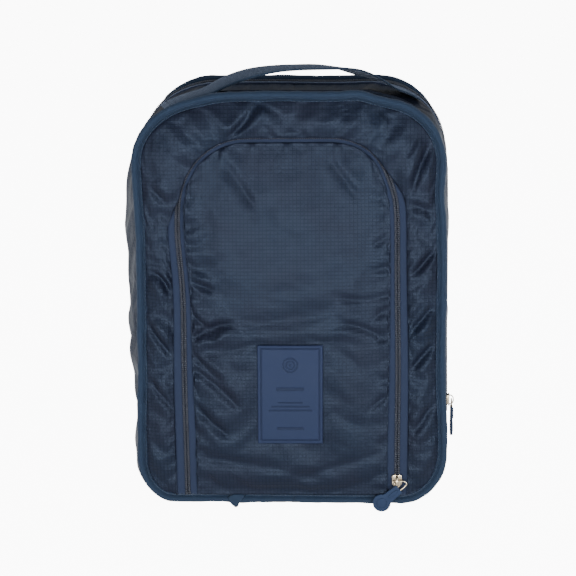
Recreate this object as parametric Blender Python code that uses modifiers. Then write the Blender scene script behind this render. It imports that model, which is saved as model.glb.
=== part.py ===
"""A soft travel shoe bag: a zipped pocket flap in front, a zipped lid behind and a webbing handle on top.

Metres, +Z up. X runs to the right, the front faces -Y, and the origin is the centre of the flat base.
"""

import math

import bmesh
import bpy

# Outline of the front and back panels, along the seam that the bindings cover
HALF_WIDTH = 0.1093
SEAM_LOW = 0.0100
SEAM_TOP = 0.3085
TOP_RADIUS = 0.046
LOW_RADIUS = 0.034

# Depth: seams of the two panels, and the edges of the gusset between the bindings
SEAM_DEPTH = 0.0575
GUSSET_EDGE = 0.0535
BEAD_RADIUS = 0.0034
FABRIC = 0.0010
GAP = 0.0003

# How far the gusset swells past the seam line, and the shape of the swelling across its depth
SIDE_SWELL = 0.0090
BASE_SWELL = SEAM_LOW
SIDE_PROFILE = (
    (-0.0535, 0.0), (-0.045, 0.45), (-0.034, 0.85), (-0.022, 1.0), (0.010, 1.0),
    (0.0262, 0.8), (0.0440, 0.8), (0.049, 0.45), (0.0535, 0.0),
)
BASE_PROFILE = ((-0.0535, 0.0), (-0.042, 0.40), (-0.028, 1.0), (0.028, 1.0), (0.042, 0.40), (0.0535, 0.0))

# Pocket zip on the front: coil line, tapes and coils
ZIP_HALF_WIDTH = 0.0775
ZIP_TOP = 0.2790
ZIP_RADIUS = 0.048
PANEL_FRONT = -0.0600
TAPE = 0.0008
COIL = 0.0017
COIL_INNER = 0.0006
COIL_OUTER = 0.0021
OUTER_TAPE_WIDTH = 0.0085
INNER_TAPE_WIDTH = 0.0075
COIL_FRONT = PANEL_FRONT - GAP - COIL

# Pocket flap: it folds out along a line above the parked slider
FLAP_FOLD = 0.0330
FOLD_GAP = 0.0003
FLAP_DOME = 0.0060
DOME_CENTRE_Z = 0.1426
DOME_HALF_HEIGHT = 0.1290
DOME_HALF_WIDTH = 0.0700

# Main zip, round the sides and the top, and the lid behind it
MAIN_ZIP_Y = 0.0340
MAIN_TAPE_WIDTH = 0.0075
LID_FOLD = 0.0504
SIDE_ZIP_X = HALF_WIDTH + 0.8 * SIDE_SWELL

# Slider bodies and pulls
SLIDER_LENGTH = 0.0100
SLIDER_HALF_WIDTH = 0.0036
SLIDER_PLATE = 0.0010
FRONT_SLIDER_Z = 0.0245
MAIN_SLIDER_Z = 0.0600
BAR_OUT = 0.0028
WIRE_RADIUS = 0.00045
PULL_THICKNESS = 0.0022
PULL_ROUND = 0.0063
PULL_NECK = 0.0034
PULL_REACH = 0.0170

# Label patch and handle
LABEL_SIZE = (0.046, 0.072)
LABEL_CENTRE = (0.0, 0.0875)
LABEL_THICKNESS = 0.0014
STRAP_WIDTH = 0.022
STRAP_THICKNESS = 0.0016
STRAP_TOP = 0.3265
STRAP_RISE = 0.0225
STRAP_REACH = 0.088
STRAP_END = 0.097
GRIP_REACH = 0.050
STRAP_CENTRE = (0.0015, -0.010)
STRAP_SKEW = math.radians(15)
STRAP_LIFT = 0.0010

DIVIDER_Y = -0.0200
DIVIDER_INSET = 0.0022
CORNER_STEPS = 7

# Curves are drawn at this many times their size and scaled back when they become meshes
FILL_SCALE = 100


def material(name, colour, roughness, metallic=0.0):
    made = bpy.data.materials.new(name)
    made.use_nodes = True
    shader = made.node_tree.nodes["Principled BSDF"]
    shader.inputs["Base Color"].default_value = (*colour, 1.0)
    shader.inputs["Roughness"].default_value = roughness
    shader.inputs["Metallic"].default_value = metallic
    return made


def start_scene():
    """Empties the file and returns the collection of the parts and that of the cutters."""
    for obj in list(bpy.data.objects):
        bpy.data.objects.remove(obj, do_unlink=True)
    parts = bpy.data.collections.new("shoe_bag")
    cutters = bpy.data.collections.new("cutters")
    for collection in (parts, cutters):
        bpy.context.scene.collection.children.link(collection)
    return parts, cutters


PARTS, CUTTERS = start_scene()
SHELL_CLOTH = material("shell_cloth", (0.030, 0.045, 0.085), 0.5)
TAPE_CLOTH = material("zip_tape", (0.050, 0.080, 0.170), 0.8)
COIL_NYLON = material("zip_coil", (0.045, 0.048, 0.060), 0.4)
BINDING_CLOTH = material("binding", (0.034, 0.062, 0.120), 0.7)
LINING = material("lining", (0.030, 0.036, 0.060), 0.8)
SLIDER_METAL = material("slider_metal", (0.78, 0.72, 0.60), 0.25, 1.0)
PULL_RUBBER = material("pull_rubber", (0.045, 0.085, 0.180), 0.55)
LABEL_RUBBER = material("label_rubber", (0.050, 0.085, 0.190), 0.6)
STRAP_WEB = material("strap_webbing", (0.034, 0.060, 0.110), 0.8)


# ---------------------------------------------------------------- paths


def quarter(centre_x, centre_z, radius, start_degrees):
    """Points of a quarter circle, each with its outward normal, turning clockwise as the front is seen."""
    points = []
    for step in range(CORNER_STEPS + 1):
        angle = math.radians(start_degrees - 90 * step / CORNER_STEPS)
        normal = (math.cos(angle), math.sin(angle))
        points.append((centre_x + radius * normal[0], centre_z + radius * normal[1], *normal))
    return points


def seam_upper(cut, inset=0.0):
    """The seam line from the left side at height cut, over the top, to the right side."""
    half, radius = HALF_WIDTH - inset, TOP_RADIUS - inset
    centre_x, centre_z = HALF_WIDTH - TOP_RADIUS, SEAM_TOP - TOP_RADIUS
    return [
        (-half, cut, -1.0, 0.0),
        *quarter(-centre_x, centre_z, radius, 180),
        *quarter(centre_x, centre_z, radius, 90),
        (half, cut, 1.0, 0.0),
    ]


def seam_lower(cut, inset=0.0):
    """The seam line from the right side at height cut, under the base, to the left side."""
    half, radius = HALF_WIDTH - inset, LOW_RADIUS - inset
    centre_x, centre_z = HALF_WIDTH - LOW_RADIUS, SEAM_LOW + LOW_RADIUS
    start = [(half, cut, 1.0, 0.0)] if cut > centre_z else []
    end = [(-half, cut, -1.0, 0.0)] if cut > centre_z else []
    return [*start, *quarter(centre_x, centre_z, radius, 0), *quarter(-centre_x, centre_z, radius, -90), *end]


def seam_loop(inset=0.0):
    return seam_upper(0.15, inset) + seam_lower(0.0, inset)


def zip_path(offset, cut):
    """The pocket zip's coil line moved outward by offset, from the left leg at height cut to the right leg."""
    half, radius = ZIP_HALF_WIDTH + offset, ZIP_RADIUS + offset
    reach, centre_z = ZIP_HALF_WIDTH - ZIP_RADIUS, ZIP_TOP - ZIP_RADIUS
    return [
        (-half, cut, -1.0, 0.0),
        *quarter(-reach, centre_z, radius, 180),
        *quarter(reach, centre_z, radius, 90),
        (half, cut, 1.0, 0.0),
    ]


def flat(path):
    return [(x, z) for x, z, _, _ in path]


def between(table, value):
    """Straight-line reading of a table of (place, height) pairs."""
    for (low, at_low), (high, at_high) in zip(table, table[1:]):
        if value <= high:
            return at_low + (at_high - at_low) * (value - low) / (high - low)
    return table[-1][1]


def swell(normal_x, normal_z, depth):
    """How far the gusset stands out from the seam line."""
    down = max(0.0, -normal_z)
    height = SIDE_SWELL * normal_x**2 + BASE_SWELL * down**2
    return height * ((1 - down) * between(SIDE_PROFILE, depth) + down * between(BASE_PROFILE, depth))


def dome(x, z):
    """How far the flap bulges out at a place on it."""
    across = (abs(x) / DOME_HALF_WIDTH) ** 5
    along = (abs(z - DOME_CENTRE_Z) / DOME_HALF_HEIGHT) ** 5
    return FLAP_DOME * (1 - min(1.0, (across + along) ** 0.2) ** 2.2)


# ---------------------------------------------------------------- solids


def finish_mesh(name, mesh, surface, collection=PARTS):
    mesh.name = name
    mesh.materials.clear()
    mesh.materials.append(surface)
    obj = bpy.data.objects.new(name, mesh)
    collection.objects.link(obj)
    mesh.shade_smooth()
    mesh.set_sharp_from_angle(angle=math.radians(35))
    return obj


def curve_to_mesh(name, curve, rotation, location, surface, collection=PARTS):
    """Turns a curve, drawn FILL_SCALE times its size, into a welded mesh in world space."""
    guide = bpy.data.objects.new(name + "_curve", curve)
    guide.scale = [1 / FILL_SCALE] * 3
    guide.rotation_euler = rotation
    guide.location = location
    CUTTERS.objects.link(guide)
    bpy.context.view_layer.update()
    graph = bpy.context.evaluated_depsgraph_get()
    mesh = bpy.data.meshes.new_from_object(guide.evaluated_get(graph))
    mesh.transform(guide.matrix_world)
    bpy.data.objects.remove(guide, do_unlink=True)
    shape = bmesh.new()
    shape.from_mesh(mesh)
    bmesh.ops.remove_doubles(shape, verts=shape.verts, dist=1e-6)
    bmesh.ops.recalc_face_normals(shape, faces=shape.faces)
    shape.to_mesh(mesh)
    shape.free()
    return finish_mesh(name, mesh, surface, collection)


def poly_curve(dimensions, splines, cyclic=True):
    curve = bpy.data.curves.new("outline", "CURVE")
    curve.dimensions = dimensions
    for points in splines:
        spline = curve.splines.new("POLY")
        spline.points.add(len(points) - 1)
        for target, point in zip(spline.points, points):
            place = [FILL_SCALE * value for value in point]
            target.co = (*place, *[0.0] * (3 - len(place)), 1.0)
        spline.use_cyclic_u = cyclic
    return curve


def prism(name, splines, axis, low, high, surface, collection=PARTS):
    """A flat outline, given as (x, z) for Y, (y, z) for X or (x, y) for Z, thickened from low to high along axis."""
    curve = poly_curve("2D", splines)
    curve.fill_mode = "BOTH"
    curve.extrude = FILL_SCALE * (high - low) / 2
    turns = {"Y": (math.pi / 2, 0, 0), "X": (math.pi / 2, 0, math.pi / 2), "Z": (0, 0, 0)}
    middle = (low + high) / 2
    places = {"Y": (0, middle, 0), "X": (middle, 0, 0), "Z": (0, 0, middle)}
    return curve_to_mesh(name, curve, turns[axis], places[axis], surface, collection)


def panel(name, outline, front, thickness, surface):
    return prism(name, [outline], "Y", front, front + thickness, surface)


def tube(name, points, radius, surface, cyclic):
    curve = poly_curve("3D", [points], cyclic)
    curve.bevel_depth = FILL_SCALE * radius
    curve.bevel_resolution = 2
    curve.use_fill_caps = not cyclic
    return curve_to_mesh(name, curve, (0, 0, 0), (0, 0, 0), surface)


def sheet(name, rows, thickness, surface, closed=False, outward=1.0):
    """A surface through a grid of points, thickened away from the side its faces look to."""
    shape = bmesh.new()
    grid = [[shape.verts.new(point) for point in row] for row in rows]
    if closed:
        grid.append(grid[0])
    for row, following in zip(grid, grid[1:]):
        for index in range(len(row) - 1):
            corners = [row[index], following[index], following[index + 1], row[index + 1]]
            shape.faces.new(dict.fromkeys(corners))
    mesh = bpy.data.meshes.new(name)
    shape.to_mesh(mesh)
    shape.free()
    obj = finish_mesh(name, mesh, surface)
    solid = obj.modifiers.new("thickness", "SOLIDIFY")
    solid.thickness = thickness
    solid.offset = -outward
    solid.use_even_offset = True
    return obj


def gusset_piece(name, path, depths, surface, lift=0.0, thickness=FABRIC, closed=False):
    """A strip of the bag's side wall that follows a seam path between the given depths."""
    rows = []
    for x, z, normal_x, normal_z in path:
        out = [swell(normal_x, normal_z, depth) + lift for depth in depths]
        rows.append([(x + normal_x * o, depth, z + normal_z * o) for depth, o in zip(depths, out)])
    return sheet(name, rows, thickness, surface, closed)


def depth_steps(low, high):
    """The profile's own places between two depths, with both ends."""
    return [low, *[place for place, _ in SIDE_PROFILE if low + 0.002 < place < high - 0.002], high]


# ---------------------------------------------------------------- front


def zip_strip(name, inner, outer, cut, front, thickness, surface):
    """A strip beside the pocket zip's coil line, between two offsets from it."""
    outline = flat(zip_path(outer, cut)) + flat(zip_path(inner, cut))[::-1]
    return panel(name, outline, front, thickness, surface)


def leg_strip(name, side, inner, outer, low, high, front, thickness, surface):
    """A short straight strip beside one leg of the pocket zip, below the fold."""
    near = side * (ZIP_HALF_WIDTH + inner)
    far = side * (ZIP_HALF_WIDTH + outer)
    return panel(name, [(near, low), (far, low), (far, high), (near, high)], front, thickness, surface)


def front_face():
    """The fixed cloth of the front, its zip half, the parts of the zip below the fold, and the edge binding."""
    bead_inset = BEAD_RADIUS + GAP
    foot = SEAM_LOW + bead_inset
    leg_outer = OUTER_TAPE_WIDTH + GAP
    low_edge = seam_lower(0.0, bead_inset)
    right_edge = [point for point in low_edge if point[0] > ZIP_HALF_WIDTH + leg_outer]
    left_edge = [point for point in low_edge if point[0] < -ZIP_HALF_WIDTH - leg_outer]
    corner = HALF_WIDTH - LOW_RADIUS
    radius = LOW_RADIUS - bead_inset

    def edge_height(x):
        beyond = max(0.0, abs(x) - corner)
        return SEAM_LOW + LOW_RADIUS - math.sqrt(radius**2 - beyond**2)

    inner = zip_path(leg_outer, 0.0)
    inner_right, inner_left = inner[-1][0], inner[0][0]
    outline = [
        *flat(seam_upper(0.15, bead_inset)),
        *flat(right_edge),
        (inner_right, edge_height(inner_right)),
        *flat(inner[1:-1])[::-1],
        (inner_left, edge_height(inner_left)),
        *flat(left_edge),
    ]
    panel("front_surround", outline, PANEL_FRONT, FABRIC, SHELL_CLOTH)

    tape_foot = edge_height(inner_right) + GAP
    zip_strip("front_tape_outer", COIL_INNER, OUTER_TAPE_WIDTH, tape_foot, PANEL_FRONT, TAPE, TAPE_CLOTH)
    zip_strip("front_coil_outer", COIL_INNER, COIL_OUTER, tape_foot, COIL_FRONT, COIL, COIL_NYLON)
    fold_low = FLAP_FOLD - FOLD_GAP
    for side, word in ((-1, "left"), (1, "right")):
        leg_strip(
            "front_tape_foot_" + word, side, -COIL_INNER, -INNER_TAPE_WIDTH, tape_foot, fold_low,
            PANEL_FRONT, TAPE, TAPE_CLOTH,
        )
        leg_strip(
            "front_coil_foot_" + word, side, -COIL_INNER, -COIL_OUTER, tape_foot, fold_low,
            COIL_FRONT, COIL, COIL_NYLON,
        )
    reach = ZIP_HALF_WIDTH - INNER_TAPE_WIDTH - GAP
    sill = [(-reach, foot), (reach, foot), (reach, fold_low), (-reach, fold_low)]
    panel("front_sill", sill, PANEL_FRONT, FABRIC, SHELL_CLOTH)
    bead = [(x, -SEAM_DEPTH, z) for x, z in flat(seam_loop())]
    tube("front_binding", bead, BEAD_RADIUS, BINDING_CLOTH, cyclic=True)


def flap():
    """The pocket's flap with its half of the zip and the label on it."""
    cut = FLAP_FOLD + FOLD_GAP
    zip_strip("flap_tape", -INNER_TAPE_WIDTH, -COIL_INNER, cut, PANEL_FRONT, TAPE, TAPE_CLOTH)
    zip_strip("flap_coil", -COIL_OUTER, -COIL_INNER, cut, COIL_FRONT, COIL, COIL_NYLON)
    edge = flat(zip_path(-INNER_TAPE_WIDTH - GAP, cut))
    edge += [(edge[-1][0] + (edge[0][0] - edge[-1][0]) * step / 6, cut) for step in range(1, 6)]
    rows = []
    for x, z in edge:
        row = []
        for scale in (0.0, 0.35, 0.6, 0.8, 0.92, 1.0):
            place = (x * scale, DOME_CENTRE_Z + (z - DOME_CENTRE_Z) * scale)
            row.append((place[0], PANEL_FRONT - dome(*place), place[1]))
        rows.append(row)
    rows[0][-1] = (edge[0][0], PANEL_FRONT, edge[0][1])
    rounded_sheet("flap_panel", rows, FABRIC, SHELL_CLOTH)

    width, height = LABEL_SIZE
    columns = []
    for across in range(5):
        x = LABEL_CENTRE[0] + width * (across / 4 - 0.5)
        heights = [LABEL_CENTRE[1] + height * (step / 6 - 0.5) for step in range(7)]
        columns.append([(x, PANEL_FRONT - dome(x, z) - GAP, z) for z in heights])
    sheet("label_patch", columns, LABEL_THICKNESS, LABEL_RUBBER, outward=-1.0)


def rounded_sheet(name, rows, thickness, surface):
    """A sheet whose rows all start at one shared middle point."""
    obj = sheet(name, rows, thickness, surface, closed=True)
    shape = bmesh.new()
    shape.from_mesh(obj.data)
    bmesh.ops.remove_doubles(shape, verts=shape.verts, dist=1e-6)
    shape.to_mesh(obj.data)
    shape.free()
    return obj


# ---------------------------------------------------------------- gusset, base, lid, divider


def walls():
    """The side wall round the bag, the front half of the main zip, the base and the wall between compartments."""
    upper = seam_upper(LID_FOLD)
    near_zip = MAIN_ZIP_Y - MAIN_TAPE_WIDTH
    far_zip = MAIN_ZIP_Y + MAIN_TAPE_WIDTH
    gusset_piece("gusset_band", upper, depth_steps(-GUSSET_EDGE, near_zip - GAP), SHELL_CLOTH)
    gusset_piece(
        "main_tape_front", upper, (near_zip, MAIN_ZIP_Y - COIL_INNER), TAPE_CLOTH, thickness=TAPE
    )
    gusset_piece(
        "main_coil_front", upper, (MAIN_ZIP_Y - COIL_OUTER, MAIN_ZIP_Y - COIL_INNER), COIL_NYLON,
        lift=GAP + COIL, thickness=COIL,
    )
    lower = seam_lower(LID_FOLD - FOLD_GAP)
    base_depths = sorted({place for place, _ in SIDE_PROFILE + BASE_PROFILE if abs(place) != 0.022})
    gusset_piece("base_gusset", lower, base_depths, SHELL_CLOTH)

    loop = []
    for x, z, normal_x, normal_z in seam_loop():
        out = swell(normal_x, normal_z, DIVIDER_Y) - DIVIDER_INSET
        loop.append((x + normal_x * out, z + normal_z * out))
    panel("divider", loop, DIVIDER_Y - FABRIC / 2, FABRIC, LINING)

    lid_path = seam_upper(LID_FOLD + FOLD_GAP)
    gusset_piece("lid_tape", lid_path, (MAIN_ZIP_Y + COIL_INNER, far_zip), TAPE_CLOTH, thickness=TAPE)
    gusset_piece(
        "lid_coil", lid_path, (MAIN_ZIP_Y + COIL_INNER, MAIN_ZIP_Y + COIL_OUTER), COIL_NYLON,
        lift=GAP + COIL, thickness=COIL,
    )
    gusset_piece("lid_strip", lid_path, depth_steps(far_zip + GAP, GUSSET_EDGE), SHELL_CLOTH)


def back_face():
    """The back panel and its binding, each in a fixed foot below the fold and a part that lifts with the lid."""
    inset = BEAD_RADIUS + GAP
    back = SEAM_DEPTH + 0.0005
    panel("back_panel", flat(seam_upper(LID_FOLD + FOLD_GAP, inset)), back, FABRIC, SHELL_CLOTH)
    panel("back_panel_foot", flat(seam_lower(LID_FOLD - FOLD_GAP, inset)), back, FABRIC, SHELL_CLOTH)
    for name, path in (
        ("back_binding", seam_upper(LID_FOLD + FOLD_GAP)),
        ("back_binding_foot", seam_lower(LID_FOLD - FOLD_GAP)),
    ):
        tube(name, [(x, SEAM_DEPTH, z) for x, z in flat(path)], BEAD_RADIUS, BINDING_CLOTH, cyclic=False)


# ---------------------------------------------------------------- handle


def top_surface(x):
    """Height of the gusset's outer face at x, over the rounded top corners."""
    beyond = max(0.0, abs(x) - (HALF_WIDTH - TOP_RADIUS))
    radius = TOP_RADIUS + SIDE_SWELL * (beyond / TOP_RADIUS) ** 2
    return SEAM_TOP - TOP_RADIUS + math.sqrt(radius**2 - beyond**2)


def strap_piece(name, start, end, steps):
    """A stretch of the handle between two places along it, lying on the bag where it comes down."""
    rows = []
    for step in range(steps + 1):
        along = start + (end - start) * step / steps
        arch = STRAP_TOP - STRAP_THICKNESS - STRAP_RISE * (abs(along) / STRAP_REACH) ** 2.3
        row = []
        for across in (-0.5, -0.25, 0.0, 0.25, 0.5):
            side = across * STRAP_WIDTH
            x = STRAP_CENTRE[0] + along * math.cos(STRAP_SKEW) - side * math.sin(STRAP_SKEW)
            y = STRAP_CENTRE[1] + along * math.sin(STRAP_SKEW) + side * math.cos(STRAP_SKEW)
            row.append((x, y, max(arch, top_surface(x) + STRAP_LIFT)))
        rows.append(row)
    sheet(name, rows, STRAP_THICKNESS, STRAP_WEB, outward=-1.0)


def handle():
    split = 0.5 * GAP
    strap_piece("handle_grip", -GRIP_REACH + split, GRIP_REACH - split, 10)
    strap_piece("handle_end_left", -STRAP_END, -GRIP_REACH - split, 8)
    strap_piece("handle_end_right", GRIP_REACH + split, STRAP_END, 8)


# ---------------------------------------------------------------- sliders and pulls


def box_outline(x_low, x_high, y_low, y_high):
    return [(x_low, y_low), (x_high, y_low), (x_high, y_high), (x_low, y_high)]


def slider_profile(flanged):
    """Section of a slider body across its travel, as (across, in) with the coil's front face at in = 0."""
    back = COIL + GAP + TAPE + GAP
    flare = 0.0001
    half, web, face = SLIDER_HALF_WIDTH, GAP, -GAP
    rim = (COIL_OUTER + GAP, COIL)
    flange = [(half, rim[1]), (rim[0], rim[1]), (rim[0], face - flare)] if flanged else [(half, face - flare)]
    plate = [(half, back + flare), (half, back + FABRIC)]
    right = [(half, face - SLIDER_PLATE), *flange, (web, face), (web, back), *plate]
    return right + [(-x, y) for x, y in right[::-1]]


def place(objs, location, turn):
    """Moves parts that were made at the origin, with their front to -Y, to their slider."""
    for obj in objs:
        obj.rotation_euler = (0, 0, turn)
        obj.location = location


def slider_set(prefix, location, turn, lean, bar_shift, flanged):
    """A slider body, its wire bail and its rubber pull, which hangs at an angle lean from straight down."""
    half = SLIDER_LENGTH / 2
    body = prism(prefix + "_slider_body", [slider_profile(flanged)], "Z", -half, half, SLIDER_METAL)
    eye = WIRE_RADIUS + GAP
    wall = 0.0008
    crown_low, crown_high = -BAR_OUT - eye - wall, -SLIDER_PLATE
    crown = prism(
        prefix + "_crown",
        [
            box_outline(crown_low, crown_high, -eye - wall, eye + wall),
            box_outline(-BAR_OUT - eye, -BAR_OUT + eye, -eye, eye),
        ],
        "X", -0.0011, 0.0011, SLIDER_METAL, CUTTERS,
    )
    crown.hide_render = True
    crown.display_type = "WIRE"
    join = body.modifiers.new("crown", "BOOLEAN")
    join.operation = "UNION"
    join.object = crown
    join.solver = "EXACT"

    down = (-math.sin(lean), -math.cos(lean))
    sideways = (math.cos(lean), -math.sin(lean))

    def at_bar(along, across):
        """A place given along the pull from the bail's lower bar, and across it."""
        return (
            bar_shift[0] + along * down[0] + across * sideways[0],
            bar_shift[1] + along * down[1] + across * sideways[1],
        )

    bar_half, throat = 0.0015, -0.0022
    reach = 0.0030 + 0.0018 * math.sin(lean)
    wire = [
        (-0.0030, 0.0), (reach, 0.0), (reach + 0.0006, -0.0014),
        at_bar(throat, bar_half), at_bar(0.0, bar_half), at_bar(0.0, -bar_half), at_bar(throat, -bar_half),
        (-0.0032, -0.0008),
    ]
    ring = [(x, -BAR_OUT, z) for x, z in wire]
    bail = tube(prefix + "_pull_bail", ring, WIRE_RADIUS, SLIDER_METAL, cyclic=True)

    notch_half, notch_depth, bar_depth = 0.0023, 0.0024, 0.0012
    join_angle = math.pi - math.asin(PULL_NECK / PULL_ROUND)
    outline = [(0.0, -PULL_NECK)]
    for step in range(15):
        angle = -join_angle + 2 * join_angle * step / 14
        outline.append((PULL_REACH + PULL_ROUND * math.cos(angle), PULL_ROUND * math.sin(angle)))
    outline += [(0.0, PULL_NECK), (0.0, notch_half), (notch_depth, notch_half)]
    outline += [(notch_depth, -notch_half), (0.0, -notch_half)]
    turned = [at_bar(along - bar_depth, across) for along, across in outline]
    middle = -BAR_OUT
    tab = prism(
        prefix + "_pull_tab", [turned], "Y", middle - PULL_THICKNESS / 2, middle + PULL_THICKNESS / 2,
        PULL_RUBBER,
    )
    place([body, bail, tab, crown], location, turn)


def sliders():
    leg = (ZIP_HALF_WIDTH, COIL_FRONT, FRONT_SLIDER_Z)
    slider_set("front", leg, 0.0, math.radians(50), (-0.0008, -0.0070), flanged=True)
    side = (SIDE_ZIP_X + GAP + COIL, MAIN_ZIP_Y, MAIN_SLIDER_Z)
    slider_set("main", side, math.pi / 2, 0.0, (0.0, -0.0065), flanged=False)


front_face()
flap()
walls()
back_face()
handle()
sliders()
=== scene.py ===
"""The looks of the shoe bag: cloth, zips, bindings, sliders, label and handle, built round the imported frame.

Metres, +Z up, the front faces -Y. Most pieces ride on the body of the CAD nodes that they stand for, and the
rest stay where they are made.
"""

import math

import bmesh
import bpy
import numpy as np
from mathutils import Matrix, Vector


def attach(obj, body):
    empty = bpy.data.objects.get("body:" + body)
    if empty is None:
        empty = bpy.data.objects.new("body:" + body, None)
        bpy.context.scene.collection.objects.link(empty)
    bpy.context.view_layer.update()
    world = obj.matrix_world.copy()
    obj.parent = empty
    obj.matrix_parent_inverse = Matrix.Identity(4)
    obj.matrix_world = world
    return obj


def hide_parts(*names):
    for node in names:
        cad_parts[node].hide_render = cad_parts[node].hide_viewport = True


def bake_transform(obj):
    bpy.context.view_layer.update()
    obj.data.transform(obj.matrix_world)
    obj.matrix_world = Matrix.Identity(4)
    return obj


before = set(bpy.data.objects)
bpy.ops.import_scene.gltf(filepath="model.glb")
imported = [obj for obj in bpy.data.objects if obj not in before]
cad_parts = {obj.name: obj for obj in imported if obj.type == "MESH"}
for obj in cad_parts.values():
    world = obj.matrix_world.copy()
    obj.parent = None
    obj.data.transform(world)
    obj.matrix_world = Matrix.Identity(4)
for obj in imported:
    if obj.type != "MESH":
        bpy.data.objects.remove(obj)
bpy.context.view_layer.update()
SCENE = bpy.context.scene

# Seam lines of the two faces, and the depth they lie at
HALF, LOW, TOP, DEPTH = 0.1093, 0.0100, 0.3085, 0.0575
# A height between the low corners and the top corners
MIDDLE = 0.155
CLOTH_THICKNESS = 0.0006
# The binding's sewn ridge: how far inside the seam line, and how far out from the seam's depth
RIDGE_INSIDE, RIDGE_OUT = 0.00345, 0.00300
# Points of a seam loop: half the bottom, a low corner, a side, a top corner, half the top
COUNTS = (30, 24, 90, 36, 22)
FOLD_LID = 0.0504
ZIP_DEPTH, DIVIDER_DEPTH = 0.0340, -0.0200
FLAP_FRONT = -0.0618
LABEL_SIZE, LABEL_CENTRE = (0.0478, 0.0748), (-0.0004, 0.0915)


# ---------------------------------------------------------------- numbers


def bump(value, centre, width):
    return np.exp(-(((value - centre) / width) ** 2))


def ease(low, high, value):
    t = np.clip((value - low) / (high - low), 0, 1)
    return t * t * (3 - 2 * t)


def ripple(places, seed, wavelength):
    """Smooth noise between about -1 and 1, the sum of a few plane waves."""
    count = 9
    rng = np.random.RandomState(seed)
    places = np.asarray(places, float)
    total = np.zeros(places.shape[:-1])
    for _ in range(count):
        direction = rng.normal(size=places.shape[-1])
        direction /= np.linalg.norm(direction)
        turns = 2 * np.pi / (wavelength * rng.uniform(0.6, 1.7))
        total += np.sin(places @ direction * turns + rng.uniform(0, 2 * np.pi))
    return total * 1.1 / math.sqrt(count)


def crease(x, z, start, end, width, depth, bow=0.0):
    """Depth of a valley with a soft ridge beside it, along a slightly bowed line."""
    along = np.array(end) - start
    length = np.linalg.norm(along)
    t = ((x - start[0]) * along[0] + (z - start[1]) * along[1]) / length**2
    off = ((z - start[1]) * along[0] - (x - start[0]) * along[1]) / length
    off = off - 4 * bow * length * t * (1 - t)
    fade = ease(-0.2, 0.15, t) * (1 - ease(0.8, 1.2, t))
    ridges = bump(off, 2.6 * width, 1.8 * width) + 0.5 * bump(off, -2.6 * width, 1.8 * width)
    return depth * fade * (bump(off, 0, width) - 0.5 * ridges)


def lengths(points):
    """Distance along a line of points to each of them."""
    steps = np.linalg.norm(np.diff(points, axis=0), axis=1)
    return np.concatenate([[0], np.cumsum(steps)])


def resample(points, count):
    """count points at equal distances along an open line, its ends included."""
    along = lengths(points)
    places = np.linspace(0, along[-1], count)
    return np.stack([np.interp(places, along, points[:, k]) for k in range(points.shape[1])], 1)


def outward(points, closed):
    """Normals to the left of the way along a line in the (x, z) plane."""
    if closed:
        tangent = np.roll(points, -1, 0) - np.roll(points, 1, 0)
    else:
        tangent = np.gradient(points, axis=0)
    tangent /= np.linalg.norm(tangent, axis=1)[:, None]
    return np.stack([-tangent[:, 1], tangent[:, 0]], 1)


def arc(centre, size, start, end, count, power=2.0):
    """Points on a superellipse between two angles in degrees, the last one left out."""
    angle = np.radians(np.linspace(start, end, count, endpoint=False))
    cos, sin = np.cos(angle), np.sin(angle)
    x = centre[0] + size[0] * np.sign(cos) * np.abs(cos) ** (2 / power)
    z = centre[1] + size[1] * np.sign(sin) * np.abs(sin) ** (2 / power)
    return np.stack([x, z], 1)


def straight(start, end, count):
    """Points on a line, the last one left out."""
    t = np.linspace(0, 1, count, endpoint=False)[:, None]
    return np.array(start) * (1 - t) + np.array(end) * t


# ---------------------------------------------------------------- lines of the bag


def seam_loop(low_left, low_right, top_left, top_right, power):
    """A face's seam from the middle of the base, up the left side, over the top and back down."""
    bottom, low, side, high, top = COUNTS
    (a1, b1), (a2, b2), (a3, b3), (a4, b4) = low_left, low_right, top_left, top_right
    return np.concatenate([
        straight((0, LOW), (-HALF + a1, LOW), bottom),
        arc((-HALF + a1, LOW + b1), low_left, 270, 180, low),
        straight((-HALF, LOW + b1), (-HALF, TOP - b3), side),
        arc((-HALF + a3, TOP - b3), top_left, 180, 90, high, power),
        straight((-HALF + a3, TOP), (0, TOP), top),
        straight((0, TOP), (HALF - a4, TOP), top),
        arc((HALF - a4, TOP - b4), top_right, 90, 0, high, power),
        straight((HALF, TOP - b4), (HALF, LOW + b2), side),
        arc((HALF - a2, LOW + b2), low_right, 0, -90, low),
        straight((HALF - a2, LOW), (0, LOW), bottom),
    ])


def front_shape():
    """The front seam: soft shoulders, a kink at the right of the top, and sides that pull in by a little."""
    loop = seam_loop((0.0235, 0.0300), (0.0320, 0.0345), (0.0625, 0.0490), (0.0600, 0.0490), 2.1)
    x, z = loop[:, 0].copy(), loop[:, 1].copy()
    left, right = ease(0.02, 0.09, -x), ease(0.02, 0.09, x)
    wider = 1 - ease(0.050, 0.120, z)
    x -= left * (0.0018 * wider + 0.0010 * bump(z, 0.262, 0.022) - 0.0010 * bump(z, 0.195, 0.040))
    x += right * (0.0020 * wider - 0.0014 * bump(z, 0.238, 0.014) + 0.0008 * bump(z, 0.175, 0.045))
    upper, lower = ease(0.15, 0.29, z), 1 - ease(0.010, 0.040, z)
    z -= upper * (0.0018 * bump(x, -0.068, 0.018) + 0.0021 * bump(x, 0.068, 0.016))
    z += upper * (0.0012 * bump(x, 0.049, 0.008) + 0.0005 * bump(x, -0.02, 0.03))
    z -= lower * (0.0008 + 0.006 * x)
    return np.stack([x, z], 1)


def back_shape():
    """The back seam, with tighter shoulders than the front's."""
    loop = seam_loop((0.036, 0.036), (0.036, 0.036), (0.0475, 0.0465), (0.0475, 0.0465), 2.0)
    loop[:, 1] -= ease(0.15, 0.29, loop[:, 1]) * 0.0008 * bump(loop[:, 0], 0.03, 0.03)
    return loop


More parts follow.
